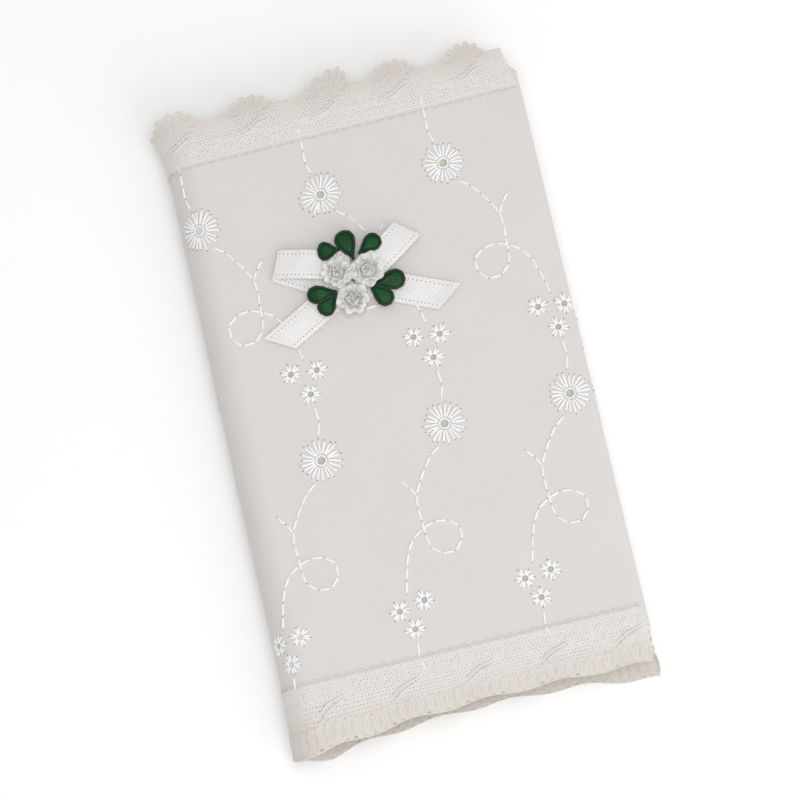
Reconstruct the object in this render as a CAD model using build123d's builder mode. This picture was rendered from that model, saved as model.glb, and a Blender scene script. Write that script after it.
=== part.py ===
from build123d import *
import os
from math import acos, ceil, cos, pi, radians, sin

# A small prayer book in an embroidered cloth jacket, closed and lying on its back cover.
# Millimetres. Origin: bottom centre of the closed book. +X from the spine to the fore edge,
# +Y from the tail to the head, +Z from the back cover to the front cover.

# Jacket and case
panel_width = 81.0          # from the joint line of a cover to its fore edge, over the cloth
cloth_height = 140.0        # head to tail of the jacket cloth
book_thickness = 15.0       # closed, over the cloth of both covers
cloth = 0.4                 # jacket cloth
board = 1.6                 # cover board
endpaper = 0.2              # pasted endpaper and free flyleaf
flap_width = 22.0           # cloth flap folded in at the fore edge
cloth_corner = 1.5          # rounded fore-edge corners of the jacket
joint_groove = 3.0          # from the joint line to the board
board_clear = 0.1           # board inside its cloth pocket
hem = 0.8                   # board short of the cloth at head and tail

# Lace sewn round the head and the tail of the jacket
lace = 0.5                  # thickness
lace_on_cloth = 5.5         # how far the band lies on the cloth
lace_free = 7.5             # how far the scallops stand past the cloth
scallop_pitch = 18.0
scallop_depth = 2.2
lace_from_fore_edge = 3.0
first_scallop_head = 8.5    # middle of the first scallop, from the fore edge
first_scallop_tail = 14.3

# Leaves
leaf_square = 3.0           # cover past the leaves at head and tail
leaf_fore_square = 4.0      # cover past the leaves at the fore edge
leaf_clear = 0.2            # between the leaves and each cover
section_count = 8           # half of them turn with the front cover
section_gap = 0.05
back_gap = 0.5              # from the joint line to the backs of the turning leaves

# Spine
backs_clear = 0.4           # rounded backs behind the joint line
card = 0.5                  # spine card
card_clear = 0.1            # card inside the cloth
backs_to_card = 0.3
headband = 1.0              # height of a headband
headband_depth = 1.2

# Embroidery on the cloth
thread = 0.25               # raised height of the satin stitches
daisy_diameter = 10.7
daisy_eyelet = 1.8
small_flower_diameter = 5.3
small_flower_eyelet = 1.0
column_pitch = 30.6
row_step = 61.9             # from one row of daisies to the mirrored row below it
upper_row_from_head = 19.6
upper_daisy_from_fore_edge = 22.2
lower_daisy_from_fore_edge = 5.5
small_flower_offsets = [(14.1, -39.8), (20.4, -40.5), (17.7, -45.7)]

# Bow on the front cover
bow_from_fore_edge = 47.0
bow_from_head = 42.2
ribbon_width = 7.0
bow_slant = 23.5            # degrees that each band leans from the X axis
ribbon_seat = 0.3           # stitches that lift the ribbon off the cloth
tail_thickness = 1.0
loop_thickness = 2.0
left_loop = 22.0            # lengths from the crossing
right_loop = 15.5
right_tail = 21.5
left_tail = 26.0
tail_slant = 4.5            # how much one edge of a cut end is shorter
knot_radius = 8.5
stitch_radius = 1.0
stitch_offset = 4.0

# Ribbon roses and satin leaves, placed from the crossing of the bow
rose_radius = 3.4
rose_height = 3.4
rose_round = 0.8
rose_places = {"left": (-5.7, 2.2), "right": (1.5, 1.7), "lower": (-3.5, -4.4)}
leaf_radius = 1.7
leaf_reach = 3.9            # from the tip to the middle of the round end
leaf_thickness = 1.6
leaf_tips = [               # tip place and the way from the tip to the round end, degrees
    (-4.4, 8.0, 182),
    (-2.2, 4.6, 93),
    (0.1, 5.8, 29),
    (4.2, -3.3, 18),
    (0.2, -2.5, -46),
    (-8.7, -1.0, 202),
    (-6.7, -2.1, 223),
]

# Worked-out places
closed_height = book_thickness + 2 * lace
mid_height = closed_height / 2
cloth_radius = book_thickness / 2
fore_edge = (panel_width + cloth_radius + lace) / 2
joint_line = fore_edge - panel_width
cloth_half = cloth_height / 2
lace_inner = cloth_half - lace_on_cloth
lace_outer = cloth_half + lace_free
cover_stack = lace + cloth + board + endpaper + cloth
leaves_low = cover_stack + leaf_clear
leaves_high = closed_height - leaves_low
leaf_left = joint_line + back_gap
leaf_right = fore_edge - leaf_fore_square
leaf_half = cloth_half - leaf_square
section_thick = (leaves_high - leaves_low - 2 * endpaper) / section_count - section_gap
face_high = closed_height - lace
ribbon_low = face_high + ribbon_seat
flowers_low = ribbon_low + loop_thickness
bow_x = fore_edge - bow_from_fore_edge
bow_y = cloth_half - bow_from_head

os.makedirs("parts", exist_ok=True)


def save(part, name):
    """Label a finished piece and write it to its own file."""
    part.label = name
    export_step(part, f"parts/{name}.step")


def plate(x_low, x_high, y_half, z_low, thickness):
    """A flat sheet or board, centred on the X axis, from its lower face up."""
    with BuildPart() as piece:
        with BuildSketch(Plane.XY.offset(z_low)):
            with Locations(((x_low + x_high) / 2, 0)):
                Rectangle(x_high - x_low, 2 * y_half)
        extrude(amount=thickness)
    return piece.part


def sleeve(outer, inner, y_low, y_high):
    """A half tube round the spine, from the back joint line to the front joint line."""
    with BuildPart() as piece:
        with BuildSketch(Plane.XZ.offset(-y_low)):
            with Locations((joint_line, mid_height)):
                Circle(outer)
                Circle(inner, mode=Mode.SUBTRACT)
            with Locations((joint_line + outer, mid_height)):
                Rectangle(2 * outer, 3 * outer, mode=Mode.SUBTRACT)
        extrude(amount=-(y_high - y_low))
    return piece.part


# Jacket: one cloth, made as a panel for each cover and a sleeve for the spine
def jacket_panel(face_z, inward):
    """Cloth over one cover, turned in at the fore edge. inward is the way to the leaves."""
    depth = cloth + board + endpaper
    with BuildPart() as piece:
        with BuildSketch(Plane.XY.offset(face_z)):
            with Locations(((joint_line + fore_edge) / 2, 0)):
                Rectangle(panel_width, cloth_height)
        extrude(amount=inward * depth)
        fore_corners = piece.edges().filter_by(Axis.Z).group_by(Axis.X)[-1]
        fillet(fore_corners, cloth_corner)
        with BuildSketch(Plane.XY.offset(face_z + inward * cloth)):
            with Locations(((joint_line + fore_edge) / 2 - cloth, 0)):
                Rectangle(panel_width, cloth_height)
        extrude(amount=inward * (depth - cloth), mode=Mode.SUBTRACT)
    return piece.part


def flap(z_low):
    """Cloth flap inside the cover, at the fore edge."""
    with BuildPart() as piece:
        with BuildSketch(Plane.XY.offset(z_low)):
            with Locations((fore_edge - flap_width / 2, 0)):
                Rectangle(flap_width, cloth_height)
        extrude(amount=cloth)
        fillet(piece.edges().filter_by(Axis.Z).group_by(Axis.X)[-1], cloth_corner)
    return piece.part


board_left = joint_line + joint_groove
board_right = fore_edge - cloth - board_clear
board_half = cloth_half - hem
case_low = lace + cloth
case_high = closed_height - case_low

save(jacket_panel(lace, 1), "jacket_back")
save(jacket_panel(face_high, -1), "jacket_front")
save(sleeve(cloth_radius, cloth_radius - cloth, -cloth_half, cloth_half), "jacket_spine")
save(flap(cover_stack - cloth), "back_flap")
save(flap(closed_height - cover_stack), "front_flap")

# Boards, endpapers and spine card
save(plate(board_left, board_right, board_half, case_low, board), "back_board")
save(plate(board_left, board_right, board_half, case_high - board, board), "front_board")
paste_low = case_low + board
paste_high = closed_height - paste_low - endpaper
save(plate(board_left, leaf_right, leaf_half, paste_low, endpaper), "back_pastedown")
save(plate(board_left, leaf_right, leaf_half, paste_high, endpaper), "front_pastedown")

card_radius = cloth_radius - cloth - card_clear
save(sleeve(card_radius, card_radius - card, -board_half, board_half), "spine_card")

# Leaves: a flyleaf on each side of the sewn sections, numbered from the front cover
front_fly_low = leaves_high - endpaper
save(plate(leaf_left, leaf_right, leaf_half, leaves_low, endpaper), "back_flyleaf")
save(plate(leaf_left, leaf_right, leaf_half, front_fly_low, endpaper), "front_flyleaf")
for number in range(1, section_count + 1):
    section_low = front_fly_low - number * (section_thick + section_gap) + section_gap / 2
    section = plate(leaf_left, leaf_right, leaf_half, section_low, section_thick)
    save(section, f"section_{number:02d}")


# Rounded backs of the sections with their lining, and the headbands on their ends
backs_radius = card_radius - card - backs_to_card
backs_right = joint_line - backs_clear


def rounded_back(inner, y_low, y_high):
    """The round of the backs, whole or from an inner radius out, between two heights."""
    with BuildPart() as piece:
        with BuildSketch(Plane.XZ.offset(-y_low)):
            with Locations((joint_line, mid_height)):
                Circle(backs_radius)
                if inner:
                    Circle(inner, mode=Mode.SUBTRACT)
            with Locations((backs_right - backs_radius, mid_height)):
                Rectangle(2 * backs_radius, leaves_high - leaves_low, mode=Mode.INTERSECT)
        extrude(amount=-(y_high - y_low))
    return piece.part


band_inner = backs_radius - headband_depth
save(rounded_back(0, -leaf_half, leaf_half), "sewn_backs")
save(rounded_back(band_inner, leaf_half, leaf_half + headband), "headband_head")
save(rounded_back(band_inner, -leaf_half - headband, -leaf_half), "headband_tail")


# Lace: a scalloped band on each cover and a sleeve round the spine
def lace_band(z_low, side, first_scallop):
    """Band along the head (side 1) or the tail (side -1) of one cover."""
    right = fore_edge - lace_from_fore_edge
    scallops = ceil(panel_width / scallop_pitch) + 2
    start = fore_edge - first_scallop + 1.5 * scallop_pitch
    cusp = side * (lace_outer - scallop_depth)
    with BuildPart() as piece:
        with BuildSketch(Plane.XY.offset(z_low)):
            with BuildLine():
                edge = [(start - i * scallop_pitch, cusp) for i in range(scallops + 1)]
                for near, far in zip(edge, edge[1:]):
                    crown = ((near[0] + far[0]) / 2, side * lace_outer)
                    ThreePointArc(near, crown, far)
                inner = side * lace_inner
                Polyline(edge[-1], (edge[-1][0], inner), (start, inner), edge[0])
            make_face()
            with Locations(((joint_line + right) / 2, side * lace_outer / 2)):
                Rectangle(right - joint_line, lace_outer, mode=Mode.INTERSECT)
        extrude(amount=lace)
    return piece.part


for cover, z_low in (("back", 0), ("front", face_high)):
    save(lace_band(z_low, 1, first_scallop_head), f"lace_head_{cover}")
    save(lace_band(z_low, -1, first_scallop_tail), f"lace_tail_{cover}")
spine_scallop = lace_outer - scallop_depth / 2
lace_radius = cloth_radius + lace
save(sleeve(lace_radius, cloth_radius, lace_inner, spine_scallop), "lace_head_spine")
save(sleeve(lace_radius, cloth_radius, -spine_scallop, -lace_inner), "lace_tail_spine")


# Embroidery: the columns of flowers run on over the spine from cover to cover
def on_back(x):
    """Where cloth that runs past the front joint line comes down on the back cover."""
    return 2 * joint_line - pi * cloth_radius - x


def flower_places(offsets, cover):
    """Places of the flowers at these offsets from the daisies, kept to one cover."""
    columns = ceil((2 * panel_width + pi * cloth_radius) / column_pitch) + 1
    upper_y = cloth_half - upper_row_from_head
    places = []
    for column in range(-1, columns):
        shift = fore_edge - column * column_pitch
        for dx, dy in offsets:
            upper = (shift - upper_daisy_from_fore_edge + dx, upper_y + dy)
            lower = (shift - lower_daisy_from_fore_edge - dx, upper_y - row_step + dy)
            places += [upper, lower]
    if cover == "back":
        places = [(on_back(x), y) for x, y in places]
    return places


def flowers(offsets, diameter, eyelet, z_low, cover):
    """Round satin-stitched flowers with an open eyelet, where they lie flat on a cover."""
    reach = diameter / 2
    kept = [
        (x, y)
        for x, y in flower_places(offsets, cover)
        if joint_line + reach < x < fore_edge - reach and abs(y) + reach < lace_inner
    ]
    with BuildPart() as piece:
        with BuildSketch(Plane.XY.offset(z_low)):
            with Locations(*kept):
                Circle(reach)
                Circle(eyelet / 2, mode=Mode.SUBTRACT)
        extrude(amount=thread)
    return piece.part


daisy = (daisy_diameter, daisy_eyelet)
small_flower = (small_flower_diameter, small_flower_eyelet)
for cover, z_low in (("back", lace - thread), ("front", face_high)):
    save(flowers([(0, 0)], *daisy, z_low, cover), f"daisies_{cover}")
    save(flowers(small_flower_offsets, *small_flower, z_low, cover), f"small_flowers_{cover}")


# Bow: one ribbon folded into two loops and two tails, with a gathered middle
def bow_plane(angle):
    """Plane at the crossing of the bow, turned about Z."""
    turned = (cos(radians(angle)), sin(radians(angle)), 0)
    return Plane(origin=(bow_x, bow_y, ribbon_low), x_dir=turned, z_dir=(0, 0, 1))


half_ribbon = ribbon_width / 2
with BuildPart() as bow:
    for loop_length, angle in ((left_loop, 180 - bow_slant), (right_loop, bow_slant)):
        with BuildSketch(bow_plane(angle)):
            with Locations((loop_length / 2, 0)):
                Rectangle(loop_length, ribbon_width)
        extrude(amount=loop_thickness)
    for tail_length, angle in ((right_tail, -bow_slant), (left_tail, 180 + bow_slant)):
        with BuildSketch(bow_plane(angle)):
            with BuildLine():
                Polyline(
                    (0, -half_ribbon),
                    (tail_length - tail_slant, -half_ribbon),
                    (tail_length, half_ribbon),
                    (0, half_ribbon),
                    close=True,
                )
            make_face()
        extrude(amount=tail_thickness)
    with BuildSketch(bow_plane(0)):
        Circle(knot_radius)
    extrude(amount=loop_thickness)
save(bow.part, "bow_ribbon")

with BuildPart() as stitches:
    with BuildSketch(Plane.XY.offset(face_high)):
        with Locations((bow_x - stitch_offset, bow_y), (bow_x + stitch_offset, bow_y)):
            Circle(stitch_radius)
    extrude(amount=ribbon_seat)
save(stitches.part, "bow_stitches")

for side, (dx, dy) in rose_places.items():
    with BuildPart() as rose:
        with BuildSketch(Plane.XY.offset(flowers_low)):
            with Locations((bow_x + dx, bow_y + dy)):
                Circle(rose_radius)
        extrude(amount=rose_height)
        fillet(rose.edges().group_by(Axis.Z)[-1], rose_round)
    save(rose.part, f"rose_{side}")

lean = acos(leaf_radius / leaf_reach)
shoulder = (leaf_reach - leaf_radius * cos(lean), leaf_radius * sin(lean))
for number, (dx, dy, heading) in enumerate(leaf_tips, start=1):
    turned = (cos(radians(heading)), sin(radians(heading)), 0)
    tip = (bow_x + dx, bow_y + dy, flowers_low)
    with BuildPart() as leaf:
        with BuildSketch(Plane(origin=tip, x_dir=turned, z_dir=(0, 0, 1))):
            with Locations((leaf_reach, 0)):
                Circle(leaf_radius)
            with BuildLine():
                Polyline(
                    (0, 0),
                    (shoulder[0], -shoulder[1]),
                    (leaf_reach, 0),
                    shoulder,
                    close=True,
                )
            make_face()
        extrude(amount=leaf_thickness)
    save(leaf.part, f"leaf_{number:02d}")

print("joint line", joint_line, "fore edge", fore_edge, "leaf pivot", leaf_left, mid_height)
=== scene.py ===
"""Small prayer book in an embroidered cloth jacket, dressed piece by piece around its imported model.

The cloth, its embroidery and its lace are drawn flat, as they are cut and stitched, in run-and-height
coordinates, and are then wrapped round the covers and the spine by Jacket.place.
"""

from __future__ import annotations

import logging
import math
from collections.abc import Callable, Iterable
from dataclasses import dataclass, field
from enum import Enum

import bpy
import numpy as np
from mathutils import Matrix, Vector

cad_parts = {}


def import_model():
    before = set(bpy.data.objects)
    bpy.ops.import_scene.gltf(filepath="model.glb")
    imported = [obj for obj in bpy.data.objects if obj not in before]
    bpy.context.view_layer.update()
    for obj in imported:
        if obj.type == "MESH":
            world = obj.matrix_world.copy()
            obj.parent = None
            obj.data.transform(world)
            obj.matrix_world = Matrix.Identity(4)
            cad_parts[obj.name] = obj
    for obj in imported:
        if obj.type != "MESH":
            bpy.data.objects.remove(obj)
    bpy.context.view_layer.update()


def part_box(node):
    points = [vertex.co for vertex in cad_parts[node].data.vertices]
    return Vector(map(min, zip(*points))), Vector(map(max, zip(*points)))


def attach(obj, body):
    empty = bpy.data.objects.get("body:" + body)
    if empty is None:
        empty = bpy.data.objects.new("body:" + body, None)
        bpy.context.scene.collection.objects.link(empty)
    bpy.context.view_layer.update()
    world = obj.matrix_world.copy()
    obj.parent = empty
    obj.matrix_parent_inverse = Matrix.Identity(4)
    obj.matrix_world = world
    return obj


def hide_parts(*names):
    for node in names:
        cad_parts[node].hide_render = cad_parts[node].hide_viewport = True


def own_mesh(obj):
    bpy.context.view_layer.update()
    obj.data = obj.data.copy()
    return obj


LOG = logging.getLogger("prayer_book")
MM = 0.001
TURN = 2 * math.pi

Colour = tuple[float, float, float]


class Panel(Enum):
    """A stretch of the jacket, named for the body that it rides on."""

    FRONT = "front_cover"
    SPINE = "spine"
    BACK = "back_cover"

    @property
    def word(self) -> str:
        """Short name, as the nodes of the model use it."""
        return {"front_cover": "front", "spine": "spine", "back_cover": "back"}[self.value]


class End(Enum):
    """The two ends of the book that carry lace."""

    HEAD = 1
    TAIL = -1

    @property
    def word(self) -> str:
        """Short name, as the nodes of the model use it."""
        return self.name.lower()


# ---------------------------------------------------------------------------------------------
# Finishes
# ---------------------------------------------------------------------------------------------


class Nodes:
    """A material's node tree with the few helpers that the finishes share."""

    def __init__(self, name: str) -> None:
        """Start an empty node tree with a shader and an output."""
        self.material = bpy.data.materials.new(name)
        self.material.use_nodes = True
        self.tree = self.material.node_tree
        self.shader = self.tree.nodes["Principled BSDF"]
        self.coords = self.tree.nodes.new("ShaderNodeTexCoord")

    def add(self, kind: str, **values: object) -> bpy.types.Node:
        """Add a node and set its properties.

        Args:
            kind: the node's type name.
            values: properties of the node, or input sockets by name with _ for a space.

        Returns:
            The new node.
        """
        node = self.tree.nodes.new(kind)
        for key, value in values.items():
            if hasattr(node, key):
                setattr(node, key, value)
            else:
                node.inputs[key.replace("_", " ")].default_value = value
        return node

    def link(self, source: bpy.types.NodeSocket, target: bpy.types.NodeSocket) -> None:
        """Join an output to an input."""
        self.tree.links.new(source, target)

    def surface(self, colour: Colour, roughness: float, **values: float | Colour) -> None:
        """Set the shader's own sockets.

        Args:
            colour: base colour, linear.
            roughness: surface roughness.
            values: other sockets by name, with _ for a space.
        """
        self.shader.inputs["Base Color"].default_value = (*colour, 1.0)
        self.shader.inputs["Roughness"].default_value = roughness
        for key, value in values.items():
            self.shader.inputs[key.replace("_", " ")].default_value = value

    def mottle(self, low: Colour, high: Colour, scale: float, space: str = "Object") -> None:
        """Vary the base colour softly between two colours.

        Args:
            low: colour in the dips of the noise.
            high: colour at its peaks.
            scale: noise scale per metre.
            space: the coordinate output that the noise reads.
        """
        noise = self.add("ShaderNodeTexNoise", Scale=scale, Detail=4.0, Roughness=0.6)
        ramp = self.tree.nodes.new("ShaderNodeValToRGB")
        ramp.color_ramp.elements[0].position = 0.3
        ramp.color_ramp.elements[0].color = (*low, 1.0)
        ramp.color_ramp.elements[1].position = 0.7
        ramp.color_ramp.elements[1].color = (*high, 1.0)
        self.link(self.coords.outputs[space], noise.inputs["Vector"])
        self.link(noise.outputs["Fac"], ramp.inputs["Fac"])
        self.link(ramp.outputs["Color"], self.shader.inputs["Base Color"])

    def bump(self, height: bpy.types.NodeSocket, strength: float, depth: float) -> None:
        """Raise the surface by a height output.

        Args:
            height: output that gives the height, from 0 to 1.
            strength: share of the relief that shows.
            depth: full height of the relief in metres.
        """
        bump = self.add("ShaderNodeBump", Strength=strength, Distance=depth)
        self.link(height, bump.inputs["Height"])
        previous = self.shader.inputs["Normal"].links
        if previous:
            self.link(previous[0].from_socket, bump.inputs["Normal"])
        self.link(bump.outputs["Normal"], self.shader.inputs["Normal"])

    def bands(self, axis: str, pitch: float, space: str = "UV", warp: float = 0.0) -> bpy.types.Node:
        """Add straight bands across one axis.

        Args:
            axis: X, Y or Z.
            pitch: distance from band to band in metres.
            space: the coordinate output that the bands read.
            warp: how much the bands wander.

        Returns:
            The wave node.
        """
        scale = 0.314 / pitch
        wave = self.add("ShaderNodeTexWave", bands_direction=axis, Scale=scale, Distortion=warp)
        self.link(self.coords.outputs[space], wave.inputs["Vector"])
        return wave


@dataclass(frozen=True)
class Batiste:
    """Fine plain-weave cotton of the jacket, woven along its own run and height."""

    light: Colour = (0.690, 0.664, 0.646)
    shade: Colour = (0.672, 0.642, 0.622)
    thread_pitch: float = 0.42 * MM
    weave_depth: float = 0.03 * MM

    def material(self) -> bpy.types.Material:
        """Weave of two crossed sets of threads, with slubs and a soft mottle.

        Returns:
            The finish's material.
        """
        nodes = Nodes("batiste")
        nodes.surface(self.light, 0.85, Sheen_Weight=0.25, Sheen_Roughness=0.5)
        nodes.mottle(self.shade, self.light, 55.0, "UV")
        warp = nodes.bands("X", self.thread_pitch, warp=0.6)
        weft = nodes.bands("Y", self.thread_pitch * 1.1, warp=0.6)
        both = nodes.add("ShaderNodeMath", operation="ADD")
        nodes.link(warp.outputs["Fac"], both.inputs[0])
        nodes.link(weft.outputs["Fac"], both.inputs[1])
        nodes.bump(both.outputs[0], 0.35, self.weave_depth)
        slub = nodes.add("ShaderNodeTexNoise", Scale=900.0, Detail=3.0)
        nodes.link(nodes.coords.outputs["UV"], slub.inputs["Vector"])
        nodes.bump(slub.outputs["Fac"], 0.25, 0.05 * MM)
        return nodes.material


@dataclass(frozen=True)
class Thread:
    """Spun or silky thread, for stitches, lace and headbands."""

    name: str
    colour: Colour
    shade: Colour
    roughness: float
    ply: float = 0.35 * MM
    sheen: float = 0.3
    # free: darker, creamier colour of painted shade on the lace past the end of the cloth
    free: Colour | None = None
    free_from: float = 69.5 * MM
    free_to: float = 75.0 * MM

    def fade(self, nodes: Nodes) -> None:
        """Paint shade onto the lace past the end of the cloth, as a darker, creamier colour.

        Args:
            nodes: the material's tree, whose base colour is linked already.
        """
        split = nodes.add("ShaderNodeSeparateXYZ")
        nodes.link(nodes.coords.outputs["Object"], split.inputs[0])
        away = nodes.add("ShaderNodeMath", operation="ABSOLUTE")
        nodes.link(split.outputs["Y"], away.inputs[0])
        span = nodes.add("ShaderNodeMapRange", From_Min=self.free_from, From_Max=self.free_to)
        nodes.link(away.outputs[0], span.inputs["Value"])
        mix = nodes.add("ShaderNodeMix", data_type="RGBA")
        base = nodes.shader.inputs["Base Color"]
        nodes.link(span.outputs["Result"], mix.inputs[0])
        nodes.link(base.links[0].from_socket, mix.inputs[6])
        mix.inputs[7].default_value = (*self.free, 1.0)
        nodes.link(mix.outputs[2], base)

    def material(self) -> bpy.types.Material:
        """Fine plies over a mottled colour.

        Returns:
            The finish's material.
        """
        nodes = Nodes(self.name)
        nodes.surface(self.colour, self.roughness, Sheen_Weight=self.sheen)
        nodes.mottle(self.shade, self.colour, 1500.0)
        # painted shade: the lace past the end of the cloth turns darker and creamier
        if self.free is not None:
            self.fade(nodes)
        ply = nodes.add("ShaderNodeTexNoise", Scale=1.0 / self.ply, Detail=2.0)
        nodes.link(nodes.coords.outputs["Object"], ply.inputs["Vector"])
        nodes.bump(ply.outputs["Fac"], 0.4, 0.1 * MM)
        return nodes.material


@dataclass(frozen=True)
class Satin:
    """Woven satin, with long floats along the ribbon that catch the light."""

    name: str
    colour: Colour
    shade: Colour
    roughness: float = 0.38
    float_pitch: float = 0.55 * MM
    depth: float = 0.12 * MM
    specular: float = 0.5
    sheen: float = 0.1

    def material(self) -> bpy.types.Material:
        """Floats along the run, with faint cross ribs and soft clouds of colour.

        Returns:
            The finish's material.
        """
        nodes = Nodes(self.name)
        nodes.surface(self.colour, self.roughness, Sheen_Weight=self.sheen, Specular_IOR_Level=self.specular)
        nodes.mottle(self.shade, self.colour, 420.0)
        floats = nodes.bands("Y", self.float_pitch, warp=3.0)
        ribs = nodes.bands("X", self.float_pitch * 1.9, warp=5.0)
        both = nodes.add("ShaderNodeMath", operation="MULTIPLY_ADD")
        nodes.link(ribs.outputs["Fac"], both.inputs[0])
        both.inputs[1].default_value = 0.35
        nodes.link(floats.outputs["Fac"], both.inputs[2])
        nodes.bump(both.outputs[0], 0.45, self.depth)
        return nodes.material


@dataclass(frozen=True)
class Organza:
    """Sheer stiff ribbon of the roses, which lets light through."""

    colour: Colour = (0.93, 0.92, 0.89)

    def material(self) -> bpy.types.Material:
        """Frosty, partly see-through, with a crinkle.

        Returns:
            The finish's material.
        """
        nodes = Nodes("rose_organza")
        nodes.surface(
            self.colour,
            0.3,
            Subsurface_Weight=0.5,
            Subsurface_Radius=(1.0, 0.97, 0.92),
            Subsurface_Scale=1.2 * MM,
            Transmission_Weight=0.1,
            IOR=1.25,
            Sheen_Weight=0.3,
            Specular_IOR_Level=0.7,
        )
        crinkle = nodes.add("ShaderNodeTexNoise", Scale=1400.0, Detail=3.0)
        nodes.link(nodes.coords.outputs["Object"], crinkle.inputs["Vector"])
        nodes.bump(crinkle.outputs["Fac"], 0.5, 0.25 * MM)
        return nodes.material


@dataclass(frozen=True)
class Paper:
    """Paper or paper-covered board, with faint fibres."""

    name: str
    colour: Colour
    shade: Colour
    roughness: float = 0.8

    def material(self) -> bpy.types.Material:
        """Mottled fibres.

        Returns:
            The finish's material.
        """
        nodes = Nodes(self.name)
        nodes.surface(self.colour, self.roughness)
        nodes.mottle(self.shade, self.colour, 260.0)
        fibre = nodes.add("ShaderNodeTexNoise", Scale=3000.0, Detail=2.0)
        nodes.link(nodes.coords.outputs["Object"], fibre.inputs["Vector"])
        nodes.bump(fibre.outputs["Fac"], 0.2, 0.03 * MM)
        return nodes.material


# ---------------------------------------------------------------------------------------------
# Meshes
# ---------------------------------------------------------------------------------------------


def deselect() -> None:
    """Clear the selection, so that the next operator acts on its own object alone."""
    bpy.ops.object.select_all(action="DESELECT")


def choose(piece: bpy.types.Object) -> None:
    """Make one object the selected and active one."""
    deselect()
    piece.select_set(True)
    bpy.context.view_layer.objects.active = piece


def apply_modifier(piece: bpy.types.Object, kind: str, **values: object) -> None:
    """Add a modifier, set it and apply it.

    Args:
        piece: the object to change.
        kind: the modifier's type.
        values: its settings.
    """
    choose(piece)
    modifier = piece.modifiers.new(kind.lower(), kind)
    for key, value in values.items():
        setattr(modifier, key, value)
    bpy.ops.object.modifier_apply(modifier=modifier.name)


def points_of(piece: bpy.types.Object) -> np.ndarray:
    """Read a mesh's points as rows of three."""
    flat = np.empty(3 * len(piece.data.vertices))
    piece.data.vertices.foreach_get("co", flat)
    return flat.reshape(-1, 3)


def set_points(piece: bpy.types.Object, points: np.ndarray) -> None:
    """Write a mesh's points back."""
    piece.data.vertices.foreach_set("co", np.ascontiguousarray(points, float).ravel())
    piece.data.update()


def smooth(piece: bpy.types.Object, angle: float | None = None) -> None:
    """Shade a piece smooth, or smooth up to an angle in degrees."""
    choose(piece)
    if angle is None:
        bpy.ops.object.shade_smooth()
    else:
        bpy.ops.object.shade_smooth_by_angle(angle=math.radians(angle))


def recalculate(piece: bpy.types.Object) -> None:
    """Merge doubled points and turn all faces outwards."""
    choose(piece)
    bpy.ops.object.mode_set(mode="EDIT")
    bpy.ops.mesh.select_all(action="SELECT")
    bpy.ops.mesh.remove_doubles(threshold=0.0005 * MM)
    bpy.ops.mesh.normals_make_consistent(inside=False)
    bpy.ops.object.mode_set(mode="OBJECT")


@dataclass
class Shape:
    """A small mesh that is modelled once and copied many times."""

    points: np.ndarray
    faces: list[tuple[int, ...]]

    @classmethod
    def taken(cls) -> Shape:
        """Take the active object's mesh as a shape and remove the object.

        Returns:
            The shape.
        """
        piece = bpy.context.object
        bpy.ops.object.transform_apply(location=True, rotation=True, scale=True)
        shape = cls(points_of(piece), [tuple(face.vertices) for face in piece.data.polygons])
        bpy.data.objects.remove(piece, do_unlink=True)
        return shape


def stitch_shape() -> Shape:
    """One satin stitch: a rounded ridge of unit length, with flat pinched ends.

    Returns:
        The stitch, lying along X.
    """
    deselect()
    bpy.ops.mesh.primitive_cylinder_add(
        vertices=8, radius=0.5, depth=1.0, end_fill_type="TRIFAN", rotation=(0, math.pi / 2, 0)
    )
    bpy.ops.object.transform_apply(rotation=True)
    bpy.ops.object.mode_set(mode="EDIT")
    for place in (-0.36, -0.12, 0.12, 0.36):
        bpy.ops.mesh.select_all(action="SELECT")
        bpy.ops.mesh.bisect(plane_co=(place, 0, 0), plane_no=(1, 0, 0))
    bpy.ops.object.mode_set(mode="OBJECT")
    piece = bpy.context.object
    points = points_of(piece)
    along = np.abs(points[:, 0]) * 2
    girth = np.sqrt(np.clip(1 - 0.72 * along**4, 0.2, 1))
    points[:, 1:] *= girth[:, None]
    set_points(piece, points)
    return Shape.taken()


def bead_shape() -> Shape:
    """A round bead of unit width."""
    deselect()
    bpy.ops.mesh.primitive_ico_sphere_add(subdivisions=1, radius=0.5)
    return Shape.taken()


def petal_shape() -> Shape:
    """A petal of lace of unit size: a flat rounded disc with a raised rim on both faces.

    Returns:
        The petal, lying flat.
    """
    deselect()
    bpy.ops.mesh.primitive_cylinder_add(vertices=18, radius=0.5, depth=1.0)
    bpy.ops.object.mode_set(mode="EDIT")
    bpy.ops.mesh.select_mode(type="FACE")
    bpy.ops.mesh.select_all(action="DESELECT")
    bpy.ops.object.mode_set(mode="OBJECT")
    for face in bpy.context.object.data.polygons:
        face.select = abs(face.normal.z) > 0.9
    bpy.ops.object.mode_set(mode="EDIT")
    bpy.ops.mesh.inset(thickness=0.1)
    bpy.ops.transform.resize(value=(1, 1, 1.25), center_override=(0, 0, 0))
    bpy.ops.mesh.inset(thickness=0.08)
    bpy.ops.transform.resize(value=(1, 1, 0.4), center_override=(0, 0, 0))
    bpy.ops.object.mode_set(mode="OBJECT")
    return Shape.taken()


def ring_shape(width: float, thickness: float) -> Shape:
    """A stitched ring round an eyelet.

    Args:
        width: diameter at the middle of the ring's thickness.
        thickness: of the ring.

    Returns:
        The ring, lying flat.
    """
    deselect()
    bpy.ops.mesh.primitive_torus_add(
        major_segments=20, minor_segments=6, major_radius=width / 2, minor_radius=thickness / 2
    )
    return Shape.taken()


def pit_shape() -> Shape:
    """A needle hole's dot of painted shade: a small flat six-sided dot of unit width."""
    deselect()
    bpy.ops.mesh.primitive_cylinder_add(vertices=6, radius=0.5, depth=0.3)
    return Shape.taken()


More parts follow.
